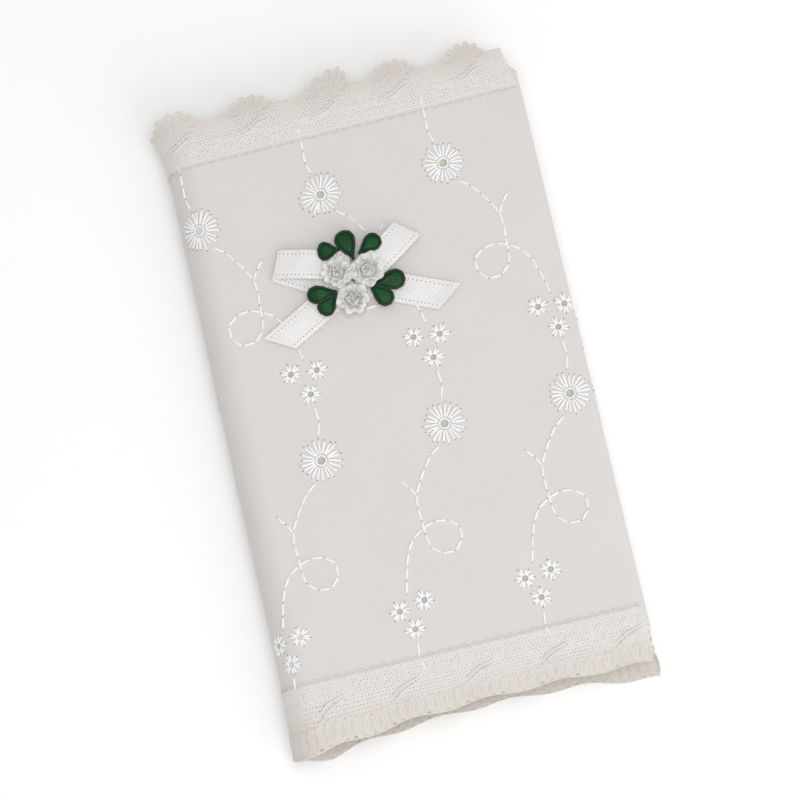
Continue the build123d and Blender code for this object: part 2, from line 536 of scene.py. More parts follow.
@dataclass
class Work:
    """Flat needlework of one kind on one panel, gathered shape by shape before it is wrapped."""

    points: list[np.ndarray] = field(default_factory=list)
    faces: list[tuple[int, ...]] = field(default_factory=list)
    count: int = 0

    def add(
        self,
        shape: Shape,
        u: float,
        v: float,
        heading: float = 0.0,
        size: tuple[float, float, float] = (1.0, 1.0, 1.0),
        lift: float = 0.0,
    ) -> None:
        """Lay one copy of a shape on the flat cloth.

        Args:
            shape: what to copy.
            u: place along the cloth's run.
            v: place along its height.
            heading: turn from the run, in radians.
            size: scale along, across and above the copy.
            lift: height of its middle over the cloth.
        """
        local = shape.points * np.array(size)
        cos, sin = math.cos(heading), math.sin(heading)
        laid = np.column_stack(
            (
                u + cos * local[:, 0] - sin * local[:, 1],
                v + sin * local[:, 0] + cos * local[:, 1],
                lift + local[:, 2],
            )
        )
        self.points.append(laid)
        self.faces += [tuple(index + self.count for index in face) for face in shape.faces]
        self.count += len(laid)

    def mesh_object(self, name: str) -> bpy.types.Object:
        """Make one object of all that was laid."""
        mesh = bpy.data.meshes.new(name)
        mesh.from_pydata(np.vstack(self.points).tolist(), [], self.faces)
        piece = bpy.data.objects.new(name, mesh)
        bpy.context.collection.objects.link(piece)
        return piece


def thread_lines(
    name: str, paths: Iterable[tuple[np.ndarray, float | np.ndarray, bool]], sides: int = 1
) -> bpy.types.Object:
    """Make round threads along flat paths, as one mesh.

    Args:
        name: of the object.
        paths: each with its points, its radius or radii, and whether it closes on itself.
        sides: bevel resolution of the threads.

    Returns:
        The threads, converted to a mesh.
    """
    curve = bpy.data.curves.new(name, "CURVE")
    curve.dimensions = "3D"
    curve.bevel_depth = 1.0
    curve.bevel_resolution = sides
    curve.use_fill_caps = True
    curve.twist_mode = "Z_UP"
    for points, radius, closed in paths:
        spline = curve.splines.new("POLY")
        spline.points.add(len(points) - 1)
        flat = np.column_stack((points, np.ones(len(points))))
        spline.points.foreach_set("co", flat.ravel())
        spline.points.foreach_set("radius", np.broadcast_to(radius, len(points)).copy())
        spline.use_cyclic_u = closed
    piece = bpy.data.objects.new(name, curve)
    bpy.context.collection.objects.link(piece)
    choose(piece)
    bpy.ops.object.convert(target="MESH")
    return bpy.context.object


def flowing(points: Iterable[Iterable[float]], step: float) -> np.ndarray:
    """Draw a smooth line through a few points and walk it in even steps.

    Args:
        points: the points that the line passes through.
        step: distance from sample to sample.

    Returns:
        The samples, one row each.
    """
    knots = np.array([list(point) for point in points], float)
    padded = np.vstack((2 * knots[0] - knots[1], knots, 2 * knots[-1] - knots[-2]))
    fine = []
    for a, b, c, d in zip(padded, padded[1:], padded[2:], padded[3:]):
        for t in np.linspace(0, 1, 24, endpoint=False):
            fine.append(
                0.5 * (2 * b + (c - a) * t + (2 * a - 5 * b + 4 * c - d) * t**2)
                + 0.5 * (3 * b - a - 3 * c + d) * t**3
            )
    fine.append(knots[-1])
    line = np.array(fine)
    reach = np.concatenate(([0.0], np.cumsum(np.linalg.norm(np.diff(line, axis=0), axis=1))))
    samples = np.linspace(0, reach[-1], max(3, round(reach[-1] / step) + 1))
    return np.column_stack([np.interp(samples, reach, column) for column in line.T])


def grid_piece(
    name: str,
    across: np.ndarray,
    along: np.ndarray,
    placed: Callable[[np.ndarray, np.ndarray], np.ndarray],
) -> bpy.types.Object:
    """Make a sheet from a grid whose lines run at chosen places.

    Args:
        name: of the object.
        across: places of the grid's columns.
        along: places of its rows.
        placed: gives the points for columns and rows.

    Returns:
        The sheet, with its flat places in metres as its UV map.
    """
    deselect()
    columns, rows = len(across), len(along)
    bpy.ops.mesh.primitive_grid_add(
        x_subdivisions=columns - 1, y_subdivisions=rows - 1, size=1, calc_uvs=True
    )
    piece = bpy.context.object
    piece.name = name
    piece.data.name = name
    corners = points_of(piece)
    column = np.rint((corners[:, 0] + 0.5) * (columns - 1)).astype(int)
    row = np.rint((corners[:, 1] + 0.5) * (rows - 1)).astype(int)
    u, v = across[column], along[row]
    set_points(piece, placed(u, v))
    loops = np.empty(len(piece.data.loops), int)
    piece.data.loops.foreach_get("vertex_index", loops)
    piece.data.uv_layers.active.data.foreach_set("uv", np.column_stack((u[loops], v[loops])).ravel())
    return piece


def finish_piece(
    piece: bpy.types.Object, material: bpy.types.Material, body: str, slot: str, *nodes: str
) -> bpy.types.Object:
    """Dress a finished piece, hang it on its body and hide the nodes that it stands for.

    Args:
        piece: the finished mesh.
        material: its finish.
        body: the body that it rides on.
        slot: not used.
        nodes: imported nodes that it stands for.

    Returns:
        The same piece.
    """
    piece.data.materials.clear()
    piece.data.materials.append(material)
    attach(piece, body)
    if nodes:
        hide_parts(*nodes)
    LOG.info("%s on %s: %d faces", piece.name, body, len(piece.data.polygons))
    return piece


# ---------------------------------------------------------------------------------------------
# The jacket's cloth
# ---------------------------------------------------------------------------------------------


@dataclass
class Jacket:
    """The cloth jacket and the map from its flat cut to its place on the book.

    A place on the flat cloth is its run u, which is X on the front cover and goes on past the
    joint line round the spine and along the back cover, and its height v, which is Y.
    """

    cloth: float = 0.3 * MM
    relief: float = 0.05 * MM
    edge_round: float = 1.3 * MM
    corner_round: float = 1.5 * MM
    hem_turn: float = 2.5 * MM
    cell: float = 1.3 * MM

    def __post_init__(self) -> None:
        """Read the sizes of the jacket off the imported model."""
        front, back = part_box("jacket_front"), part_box("jacket_back")
        self.joint = front[0][0]
        self.fore = front[1][0]
        self.half = front[1][1]
        self.top = front[1][2]
        self.bottom = back[0][2]
        self.middle = (self.top + self.bottom) / 2
        self.radius = (self.top - self.bottom) / 2
        self.round_run = math.pi * self.radius
        self.width = self.fore - self.joint
        self.flap = self.fore - self.edge_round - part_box("front_flap")[0][0]
        self.lace_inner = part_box("lace_head_front")[0][1]
        self.lace_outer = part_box("lace_head_front")[1][1]

    def panel_of(self, u: float) -> Panel:
        """The panel that a place on the run lies on."""
        if u >= self.joint:
            return Panel.FRONT
        return Panel.SPINE if u >= self.joint - self.round_run else Panel.BACK

    def limits(self, panel: Panel) -> tuple[float, float]:
        """The lowest and highest run of a panel, to its fore edge.

        Args:
            panel: which panel.

        Returns:
            Its lowest and highest run.
        """
        spine_end = self.joint - self.round_run
        return {
            Panel.FRONT: (self.joint, self.fore),
            Panel.SPINE: (spine_end, self.joint),
            Panel.BACK: (spine_end - self.width, spine_end),
        }[panel]

    def ripple(self, u: np.ndarray, v: np.ndarray) -> np.ndarray:
        """Height of the cloth's soft unevenness at a place on it."""
        waves = np.sin(u / (5.1 * MM) + 1.3 * np.sin(v / (9 * MM)))
        waves = waves + np.sin(v / (7.7 * MM) + 0.8 * np.sin(u / (6 * MM)))
        waves = waves + 0.5 * np.sin((u + v) / (3.1 * MM))
        return self.relief * (1 + waves / 2.5)

    def place(self, u: np.ndarray, v: np.ndarray, lift: np.ndarray | float = 0.0) -> np.ndarray:
        """Wrap flat places round the book.

        Args:
            u: places along the cloth's run.
            v: places along its height.
            lift: heights over the cloth.

        Returns:
            The points in the book's frame, one row each.
        """
        u, v, lift = (np.asarray(a, float) for a in np.broadcast_arrays(u, v, lift))
        over = u >= self.joint
        under = u < self.joint - self.round_run
        run = np.where(over, u - self.joint, self.joint - self.round_run - u)
        flat_run = self.width - self.edge_round
        turn = np.clip((run - flat_run) / self.edge_round, 0, math.pi)
        past = np.clip(run - flat_run - math.pi * self.edge_round, 0, None)
        x = self.joint + np.minimum(run, flat_run) + self.edge_round * np.sin(turn) - past
        x = x + lift * np.sin(turn)
        height = self.radius - self.edge_round * (1 - np.cos(turn)) + lift * np.cos(turn)
        height = np.where(over, height, -height)
        angle = (self.joint - u) / self.radius
        reach = self.radius + lift
        x = np.where(over | under, x, self.joint - reach * np.sin(angle))
        height = np.where(over | under, height, reach * np.cos(angle))
        return np.column_stack((x, v, self.middle + height))

    def wrap(self, piece: bpy.types.Object, rise: Callable | None = None) -> None:
        """Wrap a flat piece round the book.

        Args:
            piece: a mesh whose points are run, height and lift.
            rise: gives extra lift for run and height, besides the cloth's own ripple.
        """
        flat = points_of(piece)
        lift = flat[:, 2] + (self.ripple if rise is None else rise)(flat[:, 0], flat[:, 1])
        set_points(piece, self.place(flat[:, 0], flat[:, 1], lift))

    def cover_cloth(self, panel: Panel, eyelets: Shape | None) -> bpy.types.Object:
        """Cloth over one cover, round the fore edge and in to the end of the flap.

        Args:
            panel: the front or the back.
            eyelets: pegs, on the flat cloth, where it is pierced.

        Returns:
            The finished sheet.
        """
        flat_run = self.width - self.edge_round
        turn = math.pi * self.edge_round
        runs = np.concatenate(
            (
                np.linspace(0, flat_run, round(flat_run / self.cell)),
                flat_run + turn * np.linspace(0, 1, 9)[1:],
                flat_run + turn + self.flap * np.linspace(0, 1, 14)[1:],
            )
        )
        start = self.joint if panel is Panel.FRONT else self.joint - self.round_run
        across = start + runs if panel is Panel.FRONT else (start - runs)[::-1]
        heights = np.linspace(-self.half, self.half, round(2 * self.half / self.cell))

        def placed(u: np.ndarray, v: np.ndarray) -> np.ndarray:
            """Points of the sheet, with its two fore-edge corners rounded."""
            points = self.place(u, v, self.ripple(u, v))
            near = np.clip((np.abs(v) - self.half + self.corner_round) / self.corner_round, 0, 1)
            limit = self.fore - self.corner_round * (1 - np.sqrt(1 - near**2))
            points[:, 0] = np.minimum(points[:, 0], limit)
            return points

        return self.sheet_of(f"cloth_{panel.word}", across, heights, placed, eyelets)

    def spine_cloth(self, eyelets: Shape | None) -> bpy.types.Object:
        """Cloth round the spine, from joint to joint.

        Args:
            eyelets: pegs that pierce it, if it has any.

        Returns:
            The sheet.
        """
        low, high = self.limits(Panel.SPINE)
        across = np.linspace(low, high, 30)
        heights = np.linspace(-self.half, self.half, round(2 * self.half / self.cell))

        def placed(u: np.ndarray, v: np.ndarray) -> np.ndarray:
            """Points of the sheet."""
            return self.place(u, v, self.ripple(u, v))

        return self.sheet_of("cloth_spine", across, heights, placed, eyelets)

    def sheet_of(
        self,
        name: str,
        across: np.ndarray,
        heights: np.ndarray,
        placed: Callable[[np.ndarray, np.ndarray], np.ndarray],
        eyelets: Shape | None,
    ) -> bpy.types.Object:
        """Make a sheet of cloth, give it its thickness and pierce its eyelets.

        Args:
            name: the sheet's name.
            across: places along its run.
            heights: places along its height.
            placed: gives the points at such places.
            eyelets: pegs that pierce it, if it has any.

        Returns:
            The sheet.
        """
        piece = grid_piece(name, across, heights, placed)
        apply_modifier(piece, "SOLIDIFY", thickness=self.cloth, offset=-1.0)
        if eyelets is not None:
            mesh = bpy.data.meshes.new("pegs")
            mesh.from_pydata(eyelets.points.tolist(), [], eyelets.faces)
            pegs = bpy.data.objects.new("pegs", mesh)
            bpy.context.collection.objects.link(pegs)
            self.wrap(pegs)
            apply_modifier(piece, "BOOLEAN", operation="DIFFERENCE", object=pegs, solver="EXACT")
            bpy.data.objects.remove(pegs, do_unlink=True)
        smooth(piece, 40)
        return piece

    def hem_stitches(self, panel: Panel, stitch: Shape) -> bpy.types.Object:
        """Running stitches that hold the turned edge of a flap, inside the cover.

        Args:
            panel: the cover whose flap they hold.
            stitch: the stitch to repeat.

        Returns:
            The stitches.
        """
        turn = math.pi * self.edge_round
        run = self.width - self.edge_round + turn + self.flap - self.hem_turn
        u = self.joint + run if panel is Panel.FRONT else self.joint - self.round_run - run
        work = Work()
        for v in np.arange(-self.half + 2 * MM, self.half - 1 * MM, 2.6 * MM):
            work.add(stitch, u, v, math.pi / 2, (1.9 * MM, 0.28 * MM, 0.2 * MM), 0.04 * MM)
        piece = work.mesh_object(f"hem_stitches_{panel.word}")
        self.wrap(piece)
        smooth(piece)
        return piece


# ---------------------------------------------------------------------------------------------
# Embroidery
# ---------------------------------------------------------------------------------------------


@dataclass
class Embroidery:
    """Eyelet flowers and stitched stems, repeated in columns over the whole jacket."""

    jacket: Jacket
    column_pitch: float = 30.6 * MM
    row_step: float = 61.9 * MM
    upper_from_head: float = 19.6 * MM
    upper_from_fore: float = 22.2 * MM
    lower_from_fore: float = 5.5 * MM
    daisy_reach: float = 5.3 * MM
    daisy_heart: float = 1.5 * MM
    daisy_rays: int = 22
    daisy_eyelet: float = 1.9 * MM
    flower_reach: float = 2.55 * MM
    flower_heart: float = 0.75 * MM
    flower_petals: int = 6
    flower_eyelet: float = 1.4 * MM
    stitch_length: float = 2.8 * MM
    stitch_gap: float = 0.45 * MM
    thread: float = 0.54 * MM
    dotted: float = 0.6
    unbacked: float = 4.0 * MM
    drift: float = 1.8 * MM
    drift_span: tuple[float, float] = (-2.0 * MM, -24.0 * MM)
    cluster: tuple[tuple[float, float], ...] = ((14.1, -39.8), (20.4, -40.5), (17.7, -45.7))
    stem_from_above: tuple[tuple[float, float], ...] = ((-1.7, 21.0), (-1.7, 14.0), (-1.9, 9.0), (-1.1, 5.9))
    stem_out: tuple[tuple[float, float], ...] = (
        (2.6, -5.0), (5.4, -7.2), (7.9, -10.8), (10.2, -14.8), (10.7, -18.4), (10.4, -22.9),
        (10.3, -26.4), (8.8, -29.2), (6.0, -30.4), (3.3, -29.7), (1.9, -27.0), (2.3, -24.4),
        (4.6, -22.7), (7.8, -22.3), (10.9, -23.4), (13.7, -25.4), (15.6, -28.8), (17.0, -33.5),
        (17.8, -37.0),
    )
    twig: tuple[tuple[float, float], ...] = ((10.4, -15.2), (11.6, -13.0), (13.3, -10.9))
    stem_to_next: tuple[tuple[float, float], ...] = ((17.9, -48.8), (18.2, -52.6), (17.3, -56.0))
    rng: np.random.Generator = field(default_factory=lambda: np.random.default_rng(11))

    def __post_init__(self) -> None:
        """Model the stitch, the needle hole and the eyelet rings once, and lay out the work."""
        self.stitch = stitch_shape()
        self.pit = pit_shape()
        self.daisy_ring = ring_shape(self.daisy_eyelet + 0.55 * MM, 0.5 * MM)
        self.flower_ring = ring_shape(self.flower_eyelet + 0.4 * MM, 0.38 * MM)
        kinds = ("daisies", "small_flowers", "stems", "needle_holes", "pegs")
        self.work = {kind: {panel: Work() for panel in Panel} for kind in kinds}
        for daisy_u, daisy_v, side in self.daisies():
            self.sew_motif(daisy_u, daisy_v, side)

    def daisies(self) -> list[tuple[float, float, int]]:
        """Places of the daisies on the run, with the hand of the motif that each begins.

        Returns:
            Run, height and hand of each.
        """
        upper_v = self.jacket.half - self.upper_from_head
        lowest = self.jacket.limits(Panel.BACK)[0]
        places = []
        for column in range(-1, 9):
            shift = self.jacket.fore - column * self.column_pitch
            places.append((shift - self.upper_from_fore, upper_v, 1))
            places.append((shift - self.lower_from_fore, upper_v - self.row_step, -1))
        return [place for place in places if place[0] > lowest - self.column_pitch]

    def laid(self, kind: str, u: float, v: float) -> Work | None:
        """The work that takes a shape at this place, if the place is on the cloth."""
        low, high = self.jacket.limits(Panel.BACK)[0], self.jacket.limits(Panel.FRONT)[1]
        edge = 1.5 * MM
        if not low - edge < u < high + edge or abs(v) > self.jacket.lace_inner + 2.5 * MM:
            return None
        return self.work[kind][self.jacket.panel_of(u)]

    def lay(
        self, kind: str, shape: Shape, u: float, v: float, heading: float, size: tuple, lift: float
    ) -> None:
        """Lay one shape where the cloth has room for it, a little lower towards the spine."""
        start, full = self.drift_span
        share = min(1.0, max(0.0, (start - u) / (start - full)))
        v -= self.drift * share * share * (3 - 2 * share)
        work = self.laid(kind, u, v)
        if work is not None:
            work.add(shape, u, v, heading, size, lift)

    def flower(
        self, kind: str, u: float, v: float, reach: float, heart: float, rays: int, width: float
    ) -> None:
        """Sew one round flower of satin stitches, with a dark dot of painted shade for the needle hole past
        each.

        Args:
            kind: daisies or small_flowers.
            u: its middle along the run.
            v: its middle along the height.
            reach: radius of the flower.
            heart: radius where its stitches start.
            rays: how many stitches or petals it has.
            width: of a stitch at its widest.
        """
        small = kind == "small_flowers"
        start = self.rng.uniform(0, TURN)
        for ray in range(rays):
            angle = start + ray * TURN / rays + self.rng.uniform(-0.05, 0.05)
            out = reach * self.rng.uniform(0.84, 1.0)
            for lean in (-0.5, 0.5) if small else (0.0,):
                turned = angle + lean * 0.36
                middle, length = (out + heart) / 2, out - heart
                self.lay(
                    kind,
                    self.stitch,
                    u + middle * math.cos(turned),
                    v + middle * math.sin(turned),
                    turned,
                    (length, width * self.rng.uniform(0.85, 1.1), 0.62 * self.thread),
                    0.16 * MM,
                )
            # a dark dot of painted shade at the needle hole past the stitch
            spot = out + 0.12 * MM
            dot = (0.3 if small else 0.34) * MM * self.rng.uniform(0.7, 1.2)
            self.lay(
                "needle_holes",
                self.pit,
                u + spot * math.cos(angle),
                v + spot * math.sin(angle),
                0.0,
                (dot, dot, 0.2 * MM),
                0.03 * MM,
            )
        ring = self.flower_ring if small else self.daisy_ring
        self.lay(kind, ring, u, v, 0.0, (1, 1, 0.7), 0.12 * MM)
        eyelet = self.flower_eyelet if small else self.daisy_eyelet
        if any(abs(u - line) < self.unbacked for line in self.jacket.limits(Panel.SPINE)):
            return
        if self.jacket.limits(Panel.BACK)[0] < u < self.jacket.limits(Panel.FRONT)[1] - eyelet:
            self.lay("pegs", self.pit, u, v, 0.0, (eyelet, eyelet, 6 * MM), 0.0)

    def stem(self, u: float, v: float, side: int, points: tuple[tuple[float, float], ...]) -> None:
        """Sew running stitches along a smooth line.

        Args:
            u: the daisy's place along the run.
            v: its place along the height.
            side: 1, or -1 for the mirrored motif.
            points: the line, from the daisy's middle, in millimetres.
        """
        line = flowing([(u + side * dx * MM, v + dy * MM) for dx, dy in points], 0.1 * MM)
        reach = np.concatenate(([0.0], np.cumsum(np.linalg.norm(np.diff(line, axis=0), axis=1))))
        period = self.stitch_length + self.stitch_gap
        count = max(1, round((reach[-1] + self.stitch_gap) / period))
        period = (reach[-1] + self.stitch_gap) / count
        for index in range(count):
            ends = np.array([index * period, (index + 1) * period - self.stitch_gap])
            a, b = (np.array([np.interp(e, reach, axis) for axis in line.T]) for e in ends)
            middle, span = (a + b) / 2, b - a
            length = float(np.linalg.norm(span))
            heading = math.atan2(span[1], span[0])
            size = (length, self.thread * self.rng.uniform(0.9, 1.15), 0.85 * self.thread)
            self.lay("stems", self.stitch, *middle, heading, size, 0.1 * MM)
            # a dark dot of painted shade at the needle hole after some stitches
            spot = b + span / length * self.stitch_gap / 2
            if self.rng.random() > self.dotted:
                continue
            self.lay("needle_holes", self.pit, *spot, 0.0, (0.26 * MM, 0.26 * MM, 0.2 * MM), 0.02 * MM)

    def sew_motif(self, u: float, v: float, side: int) -> None:
        """Sew a daisy with its stem, twig, curl and cluster of small flowers.

        Args:
            u: the daisy's place on the run.
            v: its place along the height.
            side: 1 or -1, the hand of the motif.
        """
        self.flower("daisies", u, v, self.daisy_reach, self.daisy_heart, self.daisy_rays, 0.62 * MM)
        if side > 0:
            self.stem(u, v, side, self.stem_from_above)
        for points in (self.stem_out, self.twig, self.stem_to_next):
            self.stem(u, v, side, points)
        for dx, dy in self.cluster:
            place = (u + side * dx * MM, v + dy * MM)
            self.flower(
                "small_flowers",
                *place,
                self.flower_reach,
                self.flower_heart,
                self.flower_petals,
                0.62 * MM,
            )

    def pegs(self, panel: Panel) -> Shape | None:
        """Pegs that pierce the eyelets of a panel."""
        work = self.work["pegs"][panel]
        return Shape(np.vstack(work.points), work.faces) if work.points else None

    def pieces(self, kind: str) -> dict[Panel, bpy.types.Object]:
        """Make the wrapped pieces of one kind of work.

        Args:
            kind: the kind of work.

        Returns:
            The pieces by panel.
        """
        made = {}
        for panel, work in self.work[kind].items():
            if work.points:
                piece = work.mesh_object(f"{kind}_work_{panel.word}")
                self.jacket.wrap(piece)
                smooth(piece)
                made[panel] = piece
        return made


# ---------------------------------------------------------------------------------------------
# Lace
# ---------------------------------------------------------------------------------------------


@dataclass
class Lace:
    """A lace edging at one end of the jacket: net, corded lines, fans of lobes and clothwork."""

    jacket: Jacket
    end: End
    bead: Shape
    crown_from_fore: float
    short_of_fore: float = 0.5 * MM
    pitch: float = 18.0 * MM
    depth: float = 2.2 * MM
    net_cell: float = 0.85 * MM
    net_thread: float = 0.6 * MM
    net_depth: float = 0.16 * MM
    valley: float = 10.2 * MM
    fan_heart: float = 9.0 * MM
    fan_reach: tuple[float, float] = (6.3 * MM, 5.4 * MM)
    draw_in: float = 2.6 * MM
    drawn_over: float = 15.0 * MM
    slack_front: float = 0.8 * MM
    slack_spine: float = 4.2 * MM
    slack_back: float = 4.0 * MM
    slack_falloff: float = 4.0
    sway: float = 3.6 * MM
    sway_at: float = -2.8 * MM
    sway_reach: float = 8.0 * MM
    fan_longer: float = 1.2 * MM
    fan_from: float = 0.75
    out_limit: float = 1.2
    tail_wave: float = 0.8 * MM
    lift: float = 0.2 * MM
    proud: float = 0.14 * MM
    pressed: float = 0.3
    pressed_to: float = 6.0 * MM
    droop: float = 0.8 * MM
    ruffle: float = 0.2 * MM
    flare: float = 3.4 * MM
    petals: int = 6
    petal_size: tuple[float, float] = (4.1 * MM, 2.5 * MM)
    petal_height: float = 0.36 * MM
    picot: float = 2.8 * MM

    def __post_init__(self) -> None:
        """Take the band's width from the model and seed its unevenness."""
        self.width = self.jacket.lace_outer - self.jacket.lace_inner
        self.rng = np.random.default_rng(5 + self.end.value)
        self.petal_shape = petal_shape()
        self.low = self.jacket.limits(Panel.BACK)[0] + self.short_of_fore
        self.high = self.jacket.fore - self.short_of_fore

    def span(self, panel: Panel) -> tuple[float, float]:
        """The lowest and highest run of the lace on a panel."""
        low, high = self.jacket.limits(panel)
        return max(low, self.low), min(high, self.high)

    def height(self, w: np.ndarray | float) -> np.ndarray | float:
        """Place along the cloth's height for a distance from the lace's inner edge."""
        return self.end.value * (self.jacket.lace_inner + w)

    def pull(self, u: np.ndarray, w: np.ndarray) -> np.ndarray:
        """How much further out than an even band the lace reaches, as it is longer there.

        Args:
            u: places on the run.
            w: their distances from the inner edge of the even band.

        Returns:
            The extra distance at each place.
        """
        if self.end is End.TAIL:
            spine_low, joint = self.jacket.limits(Panel.SPINE)
            away = np.maximum(np.maximum(u - joint, spine_low - u), 0)
            far = np.clip(away / self.jacket.width, 0, 1)
            fore = np.where(u < spine_low, self.slack_back, self.slack_front) * far**self.slack_falloff
            spine = self.slack_spine * (1 - far) ** self.slack_falloff
            cloth_edge = self.jacket.half - self.jacket.lace_inner
            free = np.clip((w - cloth_edge) / (self.width - cloth_edge), 0, 1)
            return free * (fore + spine)
        near = np.exp(-(((u - self.sway_at) / self.sway_reach) ** 2))
        past = np.clip(w / self.width - self.fan_from, 0, self.out_limit - self.fan_from)
        return self.fan_longer * near * past / (1 - self.fan_from)

    def flat_size(self, panel: Panel) -> tuple[float, float]:
        """Run of the lace on a panel and its width laid flat, where it is longest."""
        low, high = self.span(panel)
        u = np.linspace(low, high, 400)
        return high - low, self.width + float(np.max(self.pull(u, np.full_like(u, self.width))))

    def outer(self, u: np.ndarray | float) -> np.ndarray | float:
        """Width of the band at a place on the run: scalloped at the head, softly waved at the tail."""
        if self.end is End.TAIL:
            return self.width - self.tail_wave / 2 * (1 - np.cos(self.off_crown(u) * TURN / self.pitch))
        return self.width - self.depth * (2 * self.off_crown(u) / self.pitch) ** 2

    def rise(self, u: np.ndarray, v: np.ndarray) -> np.ndarray:
        """Extra lift of the lace: the cloth's ripple, then a droop, flare and soft ruffle.

        Args:
            u: places on the run.
            v: places along the height.

        Returns:
            The lift at each place.
        """
        free = np.clip(np.abs(v) - self.jacket.half, 0, None) / (self.width * 0.6)
        spine_low, joint = self.jacket.limits(Panel.SPINE)
        from_joint = np.clip((u - joint) / (12 * MM), 0, 1)
        round_spine = np.sin(np.clip((joint - u) / (joint - spine_low), 0, 1) * math.pi) ** 2
        ruffle = self.ruffle * (np.sin(u * TURN / self.pitch) - 1) * free * from_joint
        under = u < spine_low
        hang = -self.droop * free**1.5 * from_joint + self.flare * free * round_spine
        rise = self.jacket.ripple(u, v) * (np.abs(v) < self.jacket.half) + hang + ruffle
        return np.where(under, 0.0, rise)

    def wrapped(self, piece: bpy.types.Object, angle: float | None = None) -> bpy.types.Object:
        """Pull the free edge to where it lies, wrap a flat piece of lace and shade it.

        The head's ends are drawn in and one of its fans sways; the tail's edge hangs longer
        towards the spine.

        Args:
            piece: the flat piece of lace.
            angle: shaded smooth up to this, in degrees, or all over.

        Returns:
            The same piece.
        """
        flat = points_of(piece)
        w = np.abs(flat[:, 1]) - self.jacket.lace_inner
        out = np.clip(w / self.width, 0, self.out_limit)
        flat[:, 1] += self.end.value * self.pull(flat[:, 0], w)
        if self.end is End.HEAD:
            near = np.exp(-(((flat[:, 0] - self.sway_at) / self.sway_reach) ** 2))
            flat[:, 0] += self.sway * near * out**2
            near_front = np.clip((flat[:, 0] - self.high + self.drawn_over) / self.drawn_over, 0, 1)
            near_back = np.clip((self.low + self.drawn_over - flat[:, 0]) / self.drawn_over, 0, 1)
            flat[:, 0] += self.draw_in * out * (near_back**2 - near_front**2)
        set_points(piece, flat)
        self.jacket.wrap(piece, self.rise)
        smooth(piece, angle)
        return piece

    def ground_edge(self, u: np.ndarray | float) -> np.ndarray | float:
        """Distance from the inner edge to which the ground reaches, under the petals of the fans."""
        off = self.off_crown(u)
        if self.end is End.TAIL:
            return self.outer(u) - 0.45 * MM
        arch = 2.6 * MM * np.sqrt(np.clip(1 - (off / (5.8 * MM)) ** 2, 0, 1))
        return np.maximum(self.fan_heart + arch, self.valley)

    def off_crown(self, u: np.ndarray | float) -> np.ndarray:
        """Distance along the run to the nearest crown of a scallop."""
        crown = self.jacket.fore - self.crown_from_fore
        return np.abs((np.asarray(u) - crown + self.pitch / 2) % self.pitch - self.pitch / 2)

    def net(self, panel: Panel) -> bpy.types.Object:
        """The ground of small six-sided openings, cut along the scallops.

        Args:
            panel: the panel that it lies on.

        Returns:
            The net.
        """
        low, high = self.span(panel)
        side = self.net_cell / math.sqrt(3)
        points: dict[tuple[int, int], int] = {}
        places, faces = [], []
        for row in range(int(self.width / (1.5 * side)) + 1):
            w = 0.5 * MM + row * 1.5 * side
            first = math.floor(low / self.net_cell)
            for column in range(first, math.ceil(high / self.net_cell) + 1):
                u = (column + 0.5 * (row % 2)) * self.net_cell
                if not low <= u < high or w > float(self.ground_edge(u)):
                    continue
                cell = []
                for corner in range(6):
                    angle = math.pi / 2 + corner * math.pi / 3
                    spot = (u + side * math.cos(angle), w + side * math.sin(angle))
                    key = (round(spot[0] / (side / 4)), round(spot[1] / (side / 4)))
                    if key not in points:
                        points[key] = len(places)
                        places.append((spot[0], self.height(spot[1]), self.lift))
                    cell.append(points[key])
                faces.append(tuple(cell) if self.end is End.HEAD else tuple(reversed(cell)))
        name = f"lace_net_{self.end.word}_{panel.word}"
        mesh = bpy.data.meshes.new(name)
        mesh.from_pydata(places, [], faces)
        piece = bpy.data.objects.new(name, mesh)
        bpy.context.collection.objects.link(piece)
        choose(piece)
        bpy.ops.object.mode_set(mode="EDIT")
        bpy.ops.mesh.select_mode(type="FACE")
        bpy.ops.mesh.select_all(action="SELECT")
        bpy.ops.mesh.inset(thickness=self.net_thread / 2, use_individual=True)
        bpy.ops.mesh.delete(type="FACE")
        bpy.ops.object.mode_set(mode="OBJECT")
        apply_modifier(piece, "SOLIDIFY", thickness=self.net_depth, offset=0.0)
        return self.wrapped(piece, 45)

    def thread_area(self, panel: Panel) -> float:
        """Flat area of the net's thread on a panel: its outline, as long as cut, times the cover.

        Args:
            panel: the panel that it lies on.

        Returns:
            The area in square metres.
        """
        low, high = self.span(panel)
        u = np.linspace(low, high, 400)
        edge = self.ground_edge(u)
        outline = float(np.mean(edge + self.pull(u, edge))) * (high - low)
        return outline * (1 - (1 - self.net_thread / self.net_cell) ** 2)

    def rope(
        self, line: np.ndarray, radius: float, shown: np.ndarray | float = 1.0
    ) -> tuple[np.ndarray, np.ndarray, bool]:
        """A twisted cord along a flat line.

        Args:
            line: its points.
            radius: where it shows in full.
            shown: share of the radius, point by point.

        Returns:
            What thread_lines takes.
        """
        steps = np.arange(len(line))
        return line, radius * (1 + 0.22 * np.sin(steps * TURN / 4)) * shown, False

